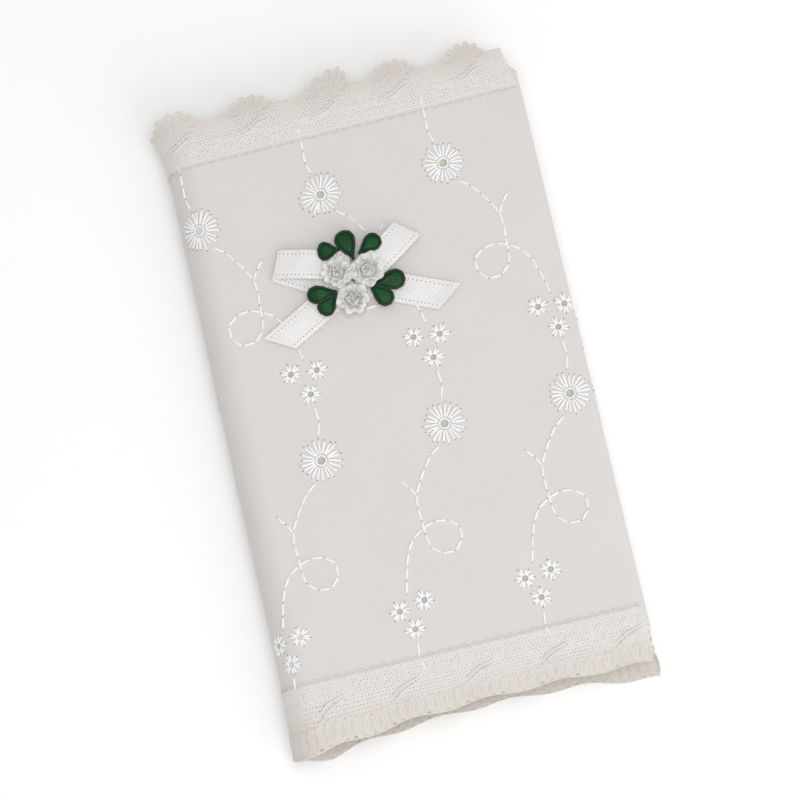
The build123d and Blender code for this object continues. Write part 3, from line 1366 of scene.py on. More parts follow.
    def cordwork(self, panel: Panel) -> bpy.types.Object:
        """The footing, the picots of the inner edge, the rim and the wavy double cord.

        The double cord is flatter where the book lies on it.

        Args:
            panel: the panel that it lies on.

        Returns:
            The cords.
        """
        low, high = self.span(panel)
        u = np.arange(low, high, 0.22 * MM)
        wave = np.sin((u - self.jacket.fore + self.crown_from_fore) * TURN / self.pitch)
        second = np.sin((u + 2 * MM) * TURN / (self.pitch / 3))
        shown = np.clip(1.3 * self.end.value * np.gradient(wave) / np.gradient(wave).max(), 0, 1)
        shown = shown * np.clip((u - self.jacket.limits(Panel.SPINE)[0]) / self.pressed_to, self.pressed, 1)
        paths = []
        for middle, swing in ((5.6 * MM, 1.35 * MM), (6.6 * MM, 1.5 * MM)):
            w = middle + swing * wave + 0.2 * MM * second
            line = np.column_stack((u, self.height(w), self.lift + self.proud * shown))
            paths.append(self.rope(line, 0.3 * MM, 0.4 + 0.6 * shown))
        arches = 0.85 * MM * np.abs(np.sin(u * math.pi / self.picot)) ** 0.8
        foot = np.column_stack((u, self.height(0.3 * MM - arches), self.lift + 0 * u))
        paths.append((foot, 0.12 * MM, False))
        line = np.column_stack((u, self.height(1.1 * MM + 0 * u), self.lift + 0 * u))
        paths.append((line, 0.14 * MM, False))
        rim = self.height(self.ground_edge(u) + 0.1 * MM)
        if self.end is End.TAIL:
            rim = self.height(self.outer(u) - 0.15 * MM)
        paths.append(self.rope(np.column_stack((u, rim, self.lift + 0 * u)), 0.19 * MM))
        piece = thread_lines(f"lace_cords_{self.end.word}_{panel.word}", paths)
        return self.wrapped(piece)

    def fans(self, panel: Panel) -> bpy.types.Object:
        """Rounded, rimmed petals: fans of them on the head's scallops, a close row on the tail's.

        Args:
            panel: the panel that it lies on.

        Returns:
            The petals.
        """
        low, high = self.span(panel)
        crown = self.jacket.fore - self.crown_from_fore
        length, width = self.petal_size
        work = Work()
        first = math.floor((low - crown) / self.pitch) - 1
        for scallop in range(first, math.ceil((high - crown) / self.pitch) + 2):
            middle = crown + scallop * self.pitch
            if self.end is End.HEAD:
                for index in range(self.petals):
                    lean = math.radians(27.0) * (index - (self.petals - 1) / 2)
                    tip = (self.fan_reach[0] * math.sin(lean), self.fan_reach[1] * math.cos(lean))
                    reach = math.hypot(*tip)
                    share = 1 - length / 2 / reach
                    way = math.atan2(tip[1], tip[0])
                    place = (middle + tip[0] * share, self.fan_heart + tip[1] * share)
                    self.petal(work, place, way, (length, width), (low, high))
            else:
                for index in range(8):
                    u = middle + (index - 3.5) * self.pitch / 8
                    way = math.pi / 2 - 0.25 * (index - 3.5) / 3.5
                    place = (u, float(self.outer(u)) - length / 2 - 0.1 * MM)
                    self.petal(work, place, way, (length, 1.12 * width), (low, high))
        piece = work.mesh_object(f"lace_petals_{self.end.word}_{panel.word}")
        return self.wrapped(piece, 50)

    def petal(
        self,
        work: Work,
        place: tuple[float, float],
        way: float,
        size: tuple[float, float],
        span: tuple[float, float],
    ) -> None:
        """Lay one petal with its two inner stitches, if its middle is on the panel.

        Args:
            work: takes the petal.
            place: its middle, along the run and from the lace's inner edge.
            way: the way that its tip points.
            size: its length and width.
            span: lowest and highest run of the lace on the panel.
        """
        if not span[0] <= place[0] < span[1]:
            return
        heading = way if self.end is End.HEAD else -way
        v = float(self.height(place[1]))
        work.add(self.petal_shape, place[0], v, heading, (*size, self.petal_height), self.lift)
        for side in (-0.17, 0.17):
            shift = side * size[1]
            work.add(
                self.bead,
                place[0] - shift * math.sin(heading),
                v + shift * math.cos(heading),
                heading,
                (0.62 * size[0], 0.3 * MM, 0.24 * MM),
                self.lift + 0.06 * MM,
            )

    def clothwork(self, panel: Panel) -> bpy.types.Object:
        """Raised flowers, leaves and seed stitches that fill the band.

        Args:
            panel: the panel that it lies on.

        Returns:
            The clothwork.
        """
        low, high = self.span(panel)
        work = Work()
        step = self.pitch / 3
        for index in range(math.floor(low / step), math.ceil(high / step) + 1):
            middle = index * step
            for du, w, petals, reach in ((0.0, 3.1, 6, 1.35), (step / 2, 9.0, 5, 1.0)):
                u = middle + du
                if not low + 1 * MM < u < high - 1 * MM:
                    continue
                for petal in range(petals):
                    angle = petal * TURN / petals + index
                    spot = reach * MM * 0.62
                    self.sew(work, u + spot * math.cos(angle), w * MM + spot * math.sin(angle), angle,
                             (reach * MM * 0.95, 0.62 * MM, 0.3 * MM))
            for lean in (-0.7, 0.7):
                u = middle + step / 2
                if low + 1 * MM < u < high - 1 * MM:
                    self.sew(work, u + lean * MM, 2.6 * MM, math.pi / 2 - lean * 0.8,
                             (2.3 * MM, 0.75 * MM, 0.3 * MM))
        seeds = int((high - low) / MM * 24)
        places = self.rng.uniform((low + 0.4 * MM, 1.3 * MM), (high - 0.4 * MM, 7.6 * MM), (seeds, 2))
        for u, w in places:
            turned = self.rng.uniform(0, math.pi)
            if w < 5.4 * MM or self.rng.random() < 0.35:
                length = self.rng.uniform(0.5, 0.95) * MM
                self.sew(work, u, w, turned, (length, 0.34 * MM, 0.3 * MM))
        piece = work.mesh_object(f"lace_clothwork_{self.end.word}_{panel.word}")
        return self.wrapped(piece)

    def sew(self, work: Work, u: float, w: float, angle: float, size: tuple) -> None:
        """Lay one stitch of the lace."""
        heading = angle if self.end is End.HEAD else -angle
        work.add(self.bead, u, float(self.height(w)), heading, size, self.lift)


# ---------------------------------------------------------------------------------------------
# Bow, roses and leaves
# ---------------------------------------------------------------------------------------------


@dataclass
class Bow:
    """One satin ribbon folded into two loops and two tails, stitched flat to the cloth."""

    bead: Shape
    width: float = 7.0 * MM
    thickness: float = 0.22 * MM
    left_loop: float = 19.2 * MM
    right_loop: float = 17.6 * MM
    edge_line: float = 0.95 * MM

    def __post_init__(self) -> None:
        """Find the middle of the bow under its three roses."""
        boxes = [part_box(f"rose_{side}") for side in ("left", "right", "lower")]
        self.x = sum((low[0] + high[0]) / 2 for low, high in boxes) / 3
        self.y = sum((low[1] + high[1]) / 2 for low, high in boxes) / 3
        self.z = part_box("bow_ribbon")[0][2]
        self.strips: list[tuple[np.ndarray, np.ndarray]] = []

    def strip(
        self, name: str, line: list[tuple[float, float, float]], degrees: float, slant: float = 0.0
    ) -> bpy.types.Object:
        """Lay one length of ribbon.

        Args:
            name: of the object.
            line: along, height and sideways places of the ribbon's middle, in millimetres.
            degrees: the way it lies from the X axis.
            slant: how much further the ribbon's left edge runs at its end, in millimetres.

        Returns:
            The ribbon, with its own run and width as its UV map.
        """
        path = flowing(line, 0.5) * MM
        turned = math.radians(degrees)
        cos, sin = math.cos(turned), math.sin(turned)
        reach = np.concatenate(([0.0], np.cumsum(np.linalg.norm(np.diff(path, axis=0), axis=1))))
        total = reach[-1]

        def placed(u: np.ndarray, v: np.ndarray) -> np.ndarray:
            """Points of the ribbon, crowned a little across its width."""
            along = np.interp(u, reach, path[:, 0])
            along = along + slant * MM * (v / self.width) * along / path[:, 0].max()
            height = np.interp(u, reach, path[:, 1])
            side = np.interp(u, reach, path[:, 2]) + v
            height = height + 0.18 * MM * np.cos(v / self.width * math.pi)
            height = height + 0.05 * MM * np.sin(u / (1.9 * MM)) * np.cos(v / (1.6 * MM))
            x = self.x + along * cos - side * sin
            y = self.y + along * sin + side * cos
            return np.column_stack((x, y, self.z + height))

        across = np.linspace(0, total, max(12, round(total / (0.7 * MM))))
        piece = grid_piece(name, across, np.linspace(-0.5, 0.5, 13) * self.width, placed)
        apply_modifier(piece, "SOLIDIFY", thickness=self.thickness, offset=0.0)
        smooth(piece, 50)
        for edge in (-0.5, 0.5):
            for inset, pitch, size in ((0.0, 0.7, 0.46), (self.edge_line, 1.0, 0.5)):
                steps = np.arange(0.3 * MM, total - 0.2 * MM, pitch * MM)
                v = edge * self.width - math.copysign(inset, edge) + 0 * steps
                self.strips.append((placed(steps, v), np.full(len(steps), size * MM)))
        return piece

    def ribbon(self) -> bpy.types.Object:
        """All lengths of the ribbon as one piece.

        Returns:
            The ribbon.
        """
        left, right = self.left_loop / MM, self.right_loop / MM
        strips = [
            self.strip("loop_left", [
                (0.5, 0.9, 2.2), (6, 0.35, 1.9), (13, 0.22, 1.2), (left - 1.2, 0.3, 0.6),
                (left, 0.75, 0.2), (left - 1.2, 1.25, -0.2),
                (12, 1.9, -1.3), (5, 1.7, -2.4), (1.5, 1.5, -3.0),
            ], 180 - 24.3),
            self.strip("loop_right", [
                (0.5, 0.8, -1.0), (5, 0.4, -1.9), (11, 0.3, -2.5), (right - 1.2, 0.4, -2.8),
                (right, 0.9, -3.3), (right - 1.2, 1.5, -3.3),
                (11, 2.1, -2.8), (5, 1.9, -1.8), (1.5, 1.5, -0.5),
            ], 40.5, -1.4),
            self.strip("tail_right", [
                (0.5, 0.8, 0.0), (7, 0.6, -0.1), (14, 0.35, -0.1), (20, 0.3, -0.1), (23.8, 0.55, -0.1),
            ], -23.8, 3.9),
            self.strip("tail_left", [
                (0.5, 1.1, 0.0), (7, 0.75, 0.0), (14, 0.4, -0.2), (20, 0.3, -0.3), (23.4, 0.5, -0.3),
            ], 180 + 29, -4.2),
        ]
        deselect()
        for strip in strips:
            strip.select_set(True)
        bpy.context.view_layer.objects.active = strips[0]
        bpy.ops.object.join()
        piece = bpy.context.object
        piece.name = piece.data.name = "ribbon_bow"
        return piece

    def picots(self) -> bpy.types.Object:
        """Tiny loops along the ribbon's edges and the knotted line inside each.

        Returns:
            The loops and the knots.
        """
        work = Work()
        for points, sizes in self.strips:
            for point, size in zip(points, sizes):
                work.add(self.bead, point[0], point[1], 0.0, (size, size, 0.8 * size), point[2] + 0.1 * MM)
        piece = work.mesh_object("ribbon_picots")
        smooth(piece)
        return piece

    def pricks(self, pit: Shape) -> bpy.types.Object:
        """Small dark dots of painted shade in the gaps between the knots of the line inside each edge.

        Args:
            pit: the prick to repeat.

        Returns:
            The pricks.
        """
        work = Work()
        for points, _ in self.strips[1::2]:
            for point, after in zip(points, points[1:]):
                x, y, z = (point + after) / 2
                work.add(pit, x, y, 0.0, (0.3 * MM, 0.3 * MM, 0.2 * MM), z + self.thickness / 2)
        return work.mesh_object("ribbon_pricks")


@dataclass
class Rose:
    """A ribbon rose: sheer ribbon rolled into a heart and gathered into loose petals."""

    side: str
    seed: int
    swell: float = 1.0
    lower: float = 0.5 * MM
    turns: float = 1.9
    petals: int = 8
    crumple: float = 0.42 * MM
    thickness: float = 0.16 * MM

    def piece(self) -> bpy.types.Object:
        """Roll the heart and fold the petals round it.

        Returns:
            The rose.
        """
        low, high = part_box(f"rose_{self.side}")
        middle = Vector(((low[0] + high[0]) / 2, (low[1] + high[1]) / 2 - self.lower, 0))
        radius, base, height = self.swell * (high[0] - low[0]) / 2, low[2], high[2] - low[2]
        rng = np.random.default_rng(self.seed)
        lean = rng.uniform(0, TURN)
        parts = []

        def heart(u: np.ndarray, v: np.ndarray) -> np.ndarray:
            """Points of the rolled ribbon; u is the turn and v the share of its height."""
            share = u / (TURN * self.turns)
            out = radius * (0.1 + 0.5 * share) * (1 + 0.22 * v * share)
            out = out + self.crumple * np.sin(4.3 * u + 3 * v + self.seed) * (0.4 + 0.6 * v)
            rim = height * (1.0 - 0.3 * share) + self.crumple * np.sin(5.7 * u + self.seed)
            z = base + 0.2 * height * (1 - v) + v * rim
            return np.column_stack((middle.x + out * np.cos(u + lean), middle.y + out * np.sin(u + lean), z))

        turn = np.linspace(0, TURN * self.turns, 70)
        parts.append(grid_piece("heart", turn, np.linspace(0, 1, 7), heart))
        for index in range(self.petals):
            start = lean + index * TURN / self.petals + rng.uniform(-0.2, 0.2)
            wide = rng.uniform(0.55, 0.75)
            far = radius * rng.uniform(0.98, 1.14)
            top = height * rng.uniform(0.45, 0.7)
            wave = rng.uniform(0, TURN)

            def petal(u: np.ndarray, v: np.ndarray) -> np.ndarray:
                """Points of a petal that opens outwards and curls over at its rim."""
                cup = np.sqrt(np.clip(1 - u**2, 0, 1))
                out = radius * 0.45 + (far - radius * 0.45) * v * (0.6 + 0.4 * cup)
                out = out + self.crumple * np.sin(5 * u + wave) * v
                angle = start + u * wide * (1 + 0.25 * v)
                curl = np.sin(np.clip(v * 1.25, 0, 1.25) * math.pi / 2)
                z = base + 0.1 * MM + top * curl * (0.55 + 0.45 * cup)
                z = z + self.crumple * np.sin(7 * u + 1.7 * wave) * v
                return np.column_stack((middle.x + out * np.cos(angle), middle.y + out * np.sin(angle), z))

            parts.append(grid_piece("petal", np.linspace(-1, 1, 15), np.linspace(0, 1, 8), petal))
        for part in parts:
            apply_modifier(part, "SOLIDIFY", thickness=self.thickness, offset=0.0)
            apply_modifier(part, "SUBSURF", levels=1, render_levels=1)
        deselect()
        for part in parts:
            part.select_set(True)
        bpy.context.view_layer.objects.active = parts[0]
        bpy.ops.object.join()
        piece = bpy.context.object
        piece.name = piece.data.name = f"ribbon_rose_{self.side}"
        smooth(piece)
        return piece


@dataclass
class SatinLeaf:
    """A padded satin drop with a rolled rim, its tip tucked under the roses."""

    number: int
    tip: tuple[float, float]
    heart: tuple[float, float]
    radius: float
    rim: float = 0.33 * MM
    pad: float = 0.75 * MM
    dent: float = 0.2
    seat: float = 0.3 * MM
    skirt: float = 0.28 * MM
    crinkle: float = 0.04 * MM
    around: int = 40
    rings: int = 7

    def outline(self, scale: float, count: int) -> np.ndarray:
        """Drop-shaped outline round the leaf's middle line, from its tip.

        Args:
            scale: 1 for the rim, less for the pad inside it.
            count: how many points it has.

        Returns:
            Along and across places of the outline.
        """
        length = math.dist(self.tip, self.heart) * MM + self.radius
        angle = np.linspace(0, TURN, count, endpoint=False)
        along = (0.5 - 0.5 * np.cos(angle)) * length
        share = along / length
        across = np.sin(angle) * self.radius * 1.62 * share**1.05 * (1.18 - 0.36 * share)
        centre = 0.62 * length
        return np.column_stack((centre + (along - centre) * scale, across * scale))

    def pieces(self, origin: tuple[float, float, float]) -> tuple[bpy.types.Object, bpy.types.Object]:
        """Make the pad and its rim.

        Args:
            origin: middle of the bow, on the leaves' seat.

        Returns:
            The pad and the rim.
        """
        way = math.atan2(self.heart[1] - self.tip[1], self.heart[0] - self.tip[0])
        cos, sin = math.cos(way), math.sin(way)
        x, y, z = origin[0] + self.tip[0] * MM, origin[1] + self.tip[1] * MM, origin[2]

        def laid(points: np.ndarray, lift: np.ndarray | float) -> np.ndarray:
            """Turn along and across places to the leaf's own way."""
            rows = np.column_stack((points, np.broadcast_to(lift, len(points))))
            along, across, up = rows.T
            return np.column_stack((x + cos * along - sin * across, y + sin * along + cos * across, z + up))

        outline = self.outline(1.0, self.around)
        centre = outline.mean(axis=0)

        def ring(share: float, lower: float = 0.0) -> tuple[np.ndarray, np.ndarray]:
            """Flat places and heights of a ring of the pad, from the rim up over a dented crown."""
            rise = self.pad * (math.sin(min(1.3 * share, 1) * math.pi / 2) - self.dent * share**2)
            crinkle = self.crinkle * np.sin(9 * share + np.arange(self.around) / 3) * (1 - share)
            return centre + (outline - centre) * (1 - share), self.seat + rise + crinkle - lower

        courses = [ring(0.0, self.skirt), *(ring(share) for share in np.linspace(0, 1, self.rings)[:-1])]
        flat = np.vstack([*(places for places, _ in courses), centre[None, :]])
        crown = self.seat + self.pad * (1 - self.dent)
        heights = np.concatenate([*(height for _, height in courses), [crown]])
        after = [(index + 1) % self.around for index in range(self.around)]
        faces: list[tuple[int, ...]] = [tuple(range(self.around))]
        for low in range(0, (len(courses) - 1) * self.around, self.around):
            high = low + self.around
            faces += [(low + i, low + j, high + j, high + i) for i, j in enumerate(after)]
        top = (len(courses) - 1) * self.around
        faces += [(top + i, top + j, len(flat) - 1) for i, j in enumerate(after)]
        name = f"satin_leaf_{self.number:02d}"
        mesh = bpy.data.meshes.new(name)
        mesh.from_pydata(laid(flat, heights).tolist(), [], faces)
        loops = np.empty(len(mesh.loops), int)
        mesh.loops.foreach_get("vertex_index", loops)
        mesh.uv_layers.new(name="UVMap").data.foreach_set("uv", flat[loops].ravel())
        pad = bpy.data.objects.new(name, mesh)
        bpy.context.collection.objects.link(pad)
        choose(pad)
        bpy.ops.object.mode_set(mode="EDIT")
        bpy.ops.mesh.select_all(action="SELECT")
        bpy.ops.mesh.normals_make_consistent(inside=False)
        bpy.ops.object.mode_set(mode="OBJECT")
        apply_modifier(pad, "SUBSURF", levels=1, render_levels=1)
        smooth(pad)
        steps = self.outline(1.0, 54)
        wobble = self.rim * (1 + 0.12 * np.sin(np.arange(54) * TURN / 4.5))
        rim = thread_lines(f"leaf_rim_{self.number:02d}", [(laid(steps, 0.42 * MM), wobble, True)], 2)
        smooth(rim)
        return pad, rim


# ---------------------------------------------------------------------------------------------
# The book inside the jacket
# ---------------------------------------------------------------------------------------------


@dataclass
class Leaves:
    """The leaves of each section as thin separate sheets, not quite even at their edges."""

    sheets: int = 6
    share: float = 0.88
    uneven: float = 0.14 * MM
    corner: float = 2.2 * MM

    def sheet(self, name: str, low: Vector, high: Vector) -> bpy.types.Object:
        """One sheet between two corners, with rounded corners at its fore edge.

        Args:
            name: of the object.
            low: its lowest corner.
            high: its highest corner.

        Returns:
            The sheet.
        """
        deselect()
        bpy.ops.mesh.primitive_cube_add(size=1, location=(low + high) / 2, scale=high - low)
        piece = bpy.context.object
        bpy.ops.object.transform_apply(location=True, rotation=True, scale=True)
        bpy.ops.object.mode_set(mode="EDIT")
        bpy.ops.mesh.select_all(action="DESELECT")
        bpy.ops.object.mode_set(mode="OBJECT")
        for edge in piece.data.edges:
            a, b = (piece.data.vertices[index].co for index in edge.vertices)
            edge.select = a.x > high.x - MM and b.x > high.x - MM and abs(a.y - b.y) < MM
        bpy.ops.object.mode_set(mode="EDIT")
        bpy.ops.mesh.select_mode(type="EDGE")
        bpy.ops.mesh.bevel(offset=self.corner, segments=4, affect="EDGES")
        bpy.ops.object.mode_set(mode="OBJECT")
        piece.name = piece.data.name = name
        return piece

    def section(self, number: int) -> bpy.types.Object:
        """The stack of sheets of one section.

        Args:
            number: which section.

        Returns:
            The stack.
        """
        low, high = (Vector(corner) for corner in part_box(f"section_{number:02d}"))
        rng = np.random.default_rng(number)
        step = (high.z - low.z) / self.sheets
        parts = []
        for index in range(self.sheets):
            short = rng.uniform(0, self.uneven, 3)
            bottom = Vector((low.x, low.y + short[0], low.z + index * step))
            top = Vector((high.x - short[1], high.y - short[2], low.z + (index + self.share) * step))
            parts.append(self.sheet("sheet", bottom, top))
        deselect()
        for part in parts:
            part.select_set(True)
        bpy.context.view_layer.objects.active = parts[0]
        bpy.ops.object.join()
        piece = bpy.context.object
        piece.name = piece.data.name = f"leaves_of_section_{number:02d}"
        return piece


@dataclass
class Spine:
    """What turns with the spine inside the jacket: card, rounded backs and headbands."""

    jacket: Jacket
    folds: int = 8

    def arc_sheet(self, name: str, radius: float, half: float, thickness: float) -> bpy.types.Object:
        """A half-round sheet inside the cloth of the spine.

        Args:
            name: the sheet's name.
            radius: of the face that it is drawn on.
            half: half its height.
            thickness: of the sheet.

        Returns:
            The sheet.
        """
        jacket = self.jacket

        def placed(u: np.ndarray, v: np.ndarray) -> np.ndarray:
            """Points round the spine; u is the angle from the front joint."""
            x = jacket.joint - radius * np.sin(u)
            return np.column_stack((x, v, jacket.middle + radius * np.cos(u)))

        piece = grid_piece(name, np.linspace(0, math.pi, 25), np.linspace(-half, half, 40), placed)
        apply_modifier(piece, "SOLIDIFY", thickness=thickness, offset=-1.0)
        recalculate(piece)
        smooth(piece, 40)
        return piece

    def backs(self) -> bpy.types.Object:
        """Rounded backs of the sections, with a ridge for each fold.

        Returns:
            The backs.
        """
        low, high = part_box("sewn_backs")
        depth, half_height = high[0] - low[0], (high[2] - low[2]) / 2
        middle = (high[2] + low[2]) / 2

        def placed(u: np.ndarray, v: np.ndarray) -> np.ndarray:
            """Points of the round; u goes from -1 below to 1 above."""
            ridge = 0.14 * MM * np.abs(np.cos(u * self.folds * math.pi / 2))
            bulge = (depth - 0.6 * MM) * np.sqrt(np.clip(1 - np.abs(u) ** 3, 0, 1)) + ridge
            return np.column_stack((high[0] - bulge, v, middle + half_height * u))

        piece = grid_piece(
            "rounded_backs", np.linspace(-1, 1, 49), np.linspace(low[1], high[1], 30), placed
        )
        choose(piece)
        bpy.ops.object.mode_set(mode="EDIT")
        bpy.ops.mesh.select_all(action="DESELECT")
        bpy.ops.mesh.select_mode(type="EDGE")
        bpy.ops.mesh.select_non_manifold(extend=False, use_verts=False)
        bpy.ops.mesh.edge_face_add()
        bpy.ops.mesh.select_all(action="SELECT")
        bpy.ops.mesh.quads_convert_to_tris()
        bpy.ops.mesh.normals_make_consistent(inside=False)
        bpy.ops.object.mode_set(mode="OBJECT")
        smooth(piece, 35)
        return piece

    def headband(self, end: End) -> bpy.types.Object:
        """A silk-wrapped roll on the rounded backs, with a ridge for each wrap.

        Args:
            end: the head or the tail.

        Returns:
            The headband.
        """
        low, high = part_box(f"headband_{end.word}")
        radius = self.jacket.joint - low[0] - 0.6 * MM
        y = (low[1] + high[1]) / 2
        tall = min(1.0, ((high[2] - low[2]) / 2 - 0.5 * MM) / radius)
        angle = np.linspace(-math.asin(tall), math.asin(tall), 60)
        middle = (low[2] + high[2]) / 2
        x = self.jacket.joint - radius * np.cos(angle)
        line = np.column_stack((x, y + 0 * angle, middle + radius * np.sin(angle)))
        radii = 0.5 * MM * (1 + 0.16 * np.sin(np.arange(60) * TURN / 4))
        piece = thread_lines(f"silk_headband_{end.word}", [(line, radii, False)], 2)
        smooth(piece)
        return piece


# ---------------------------------------------------------------------------------------------
# Setting
# ---------------------------------------------------------------------------------------------


@dataclass(frozen=True)
class Studio:
    """Plain pale floor, soft light and the camera."""

    distance: float = 0.85
    tilt: float = 11.0
    azimuth: float = 18.0
    roll: float = -13.0
    lens: float = 157.6
    target: tuple[float, float, float] = (-0.0016, -0.0006, 0.0)
    floor_size: float = 6.0
    key_place: tuple[float, float, float] = (0.12, -0.12, 1.05)
    key_size: float = 0.5
    key_power: float = 5.0
    fill_place: tuple[float, float, float] = (0.45, -0.75, 0.6)
    fill_size: float = 0.9
    fill_power: float = 3.4
    surround: float = 0.5

    def camera(self) -> None:
        """Set the camera nearly overhead, turned so that the head of the book leans left."""
        tilt, azimuth, roll = (math.radians(a) for a in (self.tilt, self.azimuth, self.roll))
        back = Vector(
            (math.sin(azimuth) * math.sin(tilt), -math.cos(azimuth) * math.sin(tilt), math.cos(tilt))
        )
        data = bpy.data.cameras.new("camera")
        data.lens, data.sensor_width, data.clip_end = self.lens, 36.0, 20.0
        camera = bpy.data.objects.new("camera", data)
        bpy.context.collection.objects.link(camera)
        right = (-back).cross(Vector((0, 1, 0))).normalized()
        up = right.cross(-back)
        turned_right = math.cos(roll) * right + math.sin(roll) * up
        turned_up = -math.sin(roll) * right + math.cos(roll) * up
        place = Vector(self.target) + back * self.distance
        columns = (turned_right, turned_up, back, place)
        rows = [[column[axis] for column in columns] for axis in range(3)]
        camera.matrix_world = Matrix((*rows, (0.0, 0.0, 0.0, 1.0)))
        bpy.context.scene.camera = camera

    def light(self, name: str, place: Vector, size: float, power: float, colour: Colour) -> None:
        """Add a square soft light that faces the book.

        Args:
            name: the light's name.
            place: where it stands.
            size: the side of its square.
            power: its power in watts.
            colour: its colour.
        """
        data = bpy.data.lights.new(name, "AREA")
        data.size, data.energy, data.color = size, power, colour
        lamp = bpy.data.objects.new(name, data)
        bpy.context.collection.objects.link(lamp)
        lamp.location = place
        lamp.rotation_euler = place.to_track_quat("Z", "Y").to_euler()

    def lights(self) -> None:
        """Soft key from nearly overhead and a cooler fill, with an even white surround."""
        self.light("key", Vector(self.key_place), self.key_size, self.key_power, (1.0, 0.99, 0.98))
        self.light("fill", Vector(self.fill_place), self.fill_size, self.fill_power, (0.975, 0.98, 1.0))
        world = bpy.data.worlds.new("surround")
        world.use_nodes = True
        world.node_tree.nodes["Background"].inputs["Color"].default_value = (1, 1, 1, 1)
        world.node_tree.nodes["Background"].inputs["Strength"].default_value = self.surround
        bpy.context.scene.world = world
        bpy.context.scene.view_settings.view_transform = "Standard"

    def floor(self) -> None:
        """A plain pale sheet under the book."""
        deselect()
        bpy.ops.mesh.primitive_plane_add(size=self.floor_size, location=(0, 0, 0))
        floor = bpy.context.object
        floor.name = "floor"
        nodes = Nodes("floor_white")
        nodes.surface((0.98, 0.98, 0.98), 0.9)
        floor.data.materials.append(nodes.material)


# ---------------------------------------------------------------------------------------------
# Making
# ---------------------------------------------------------------------------------------------


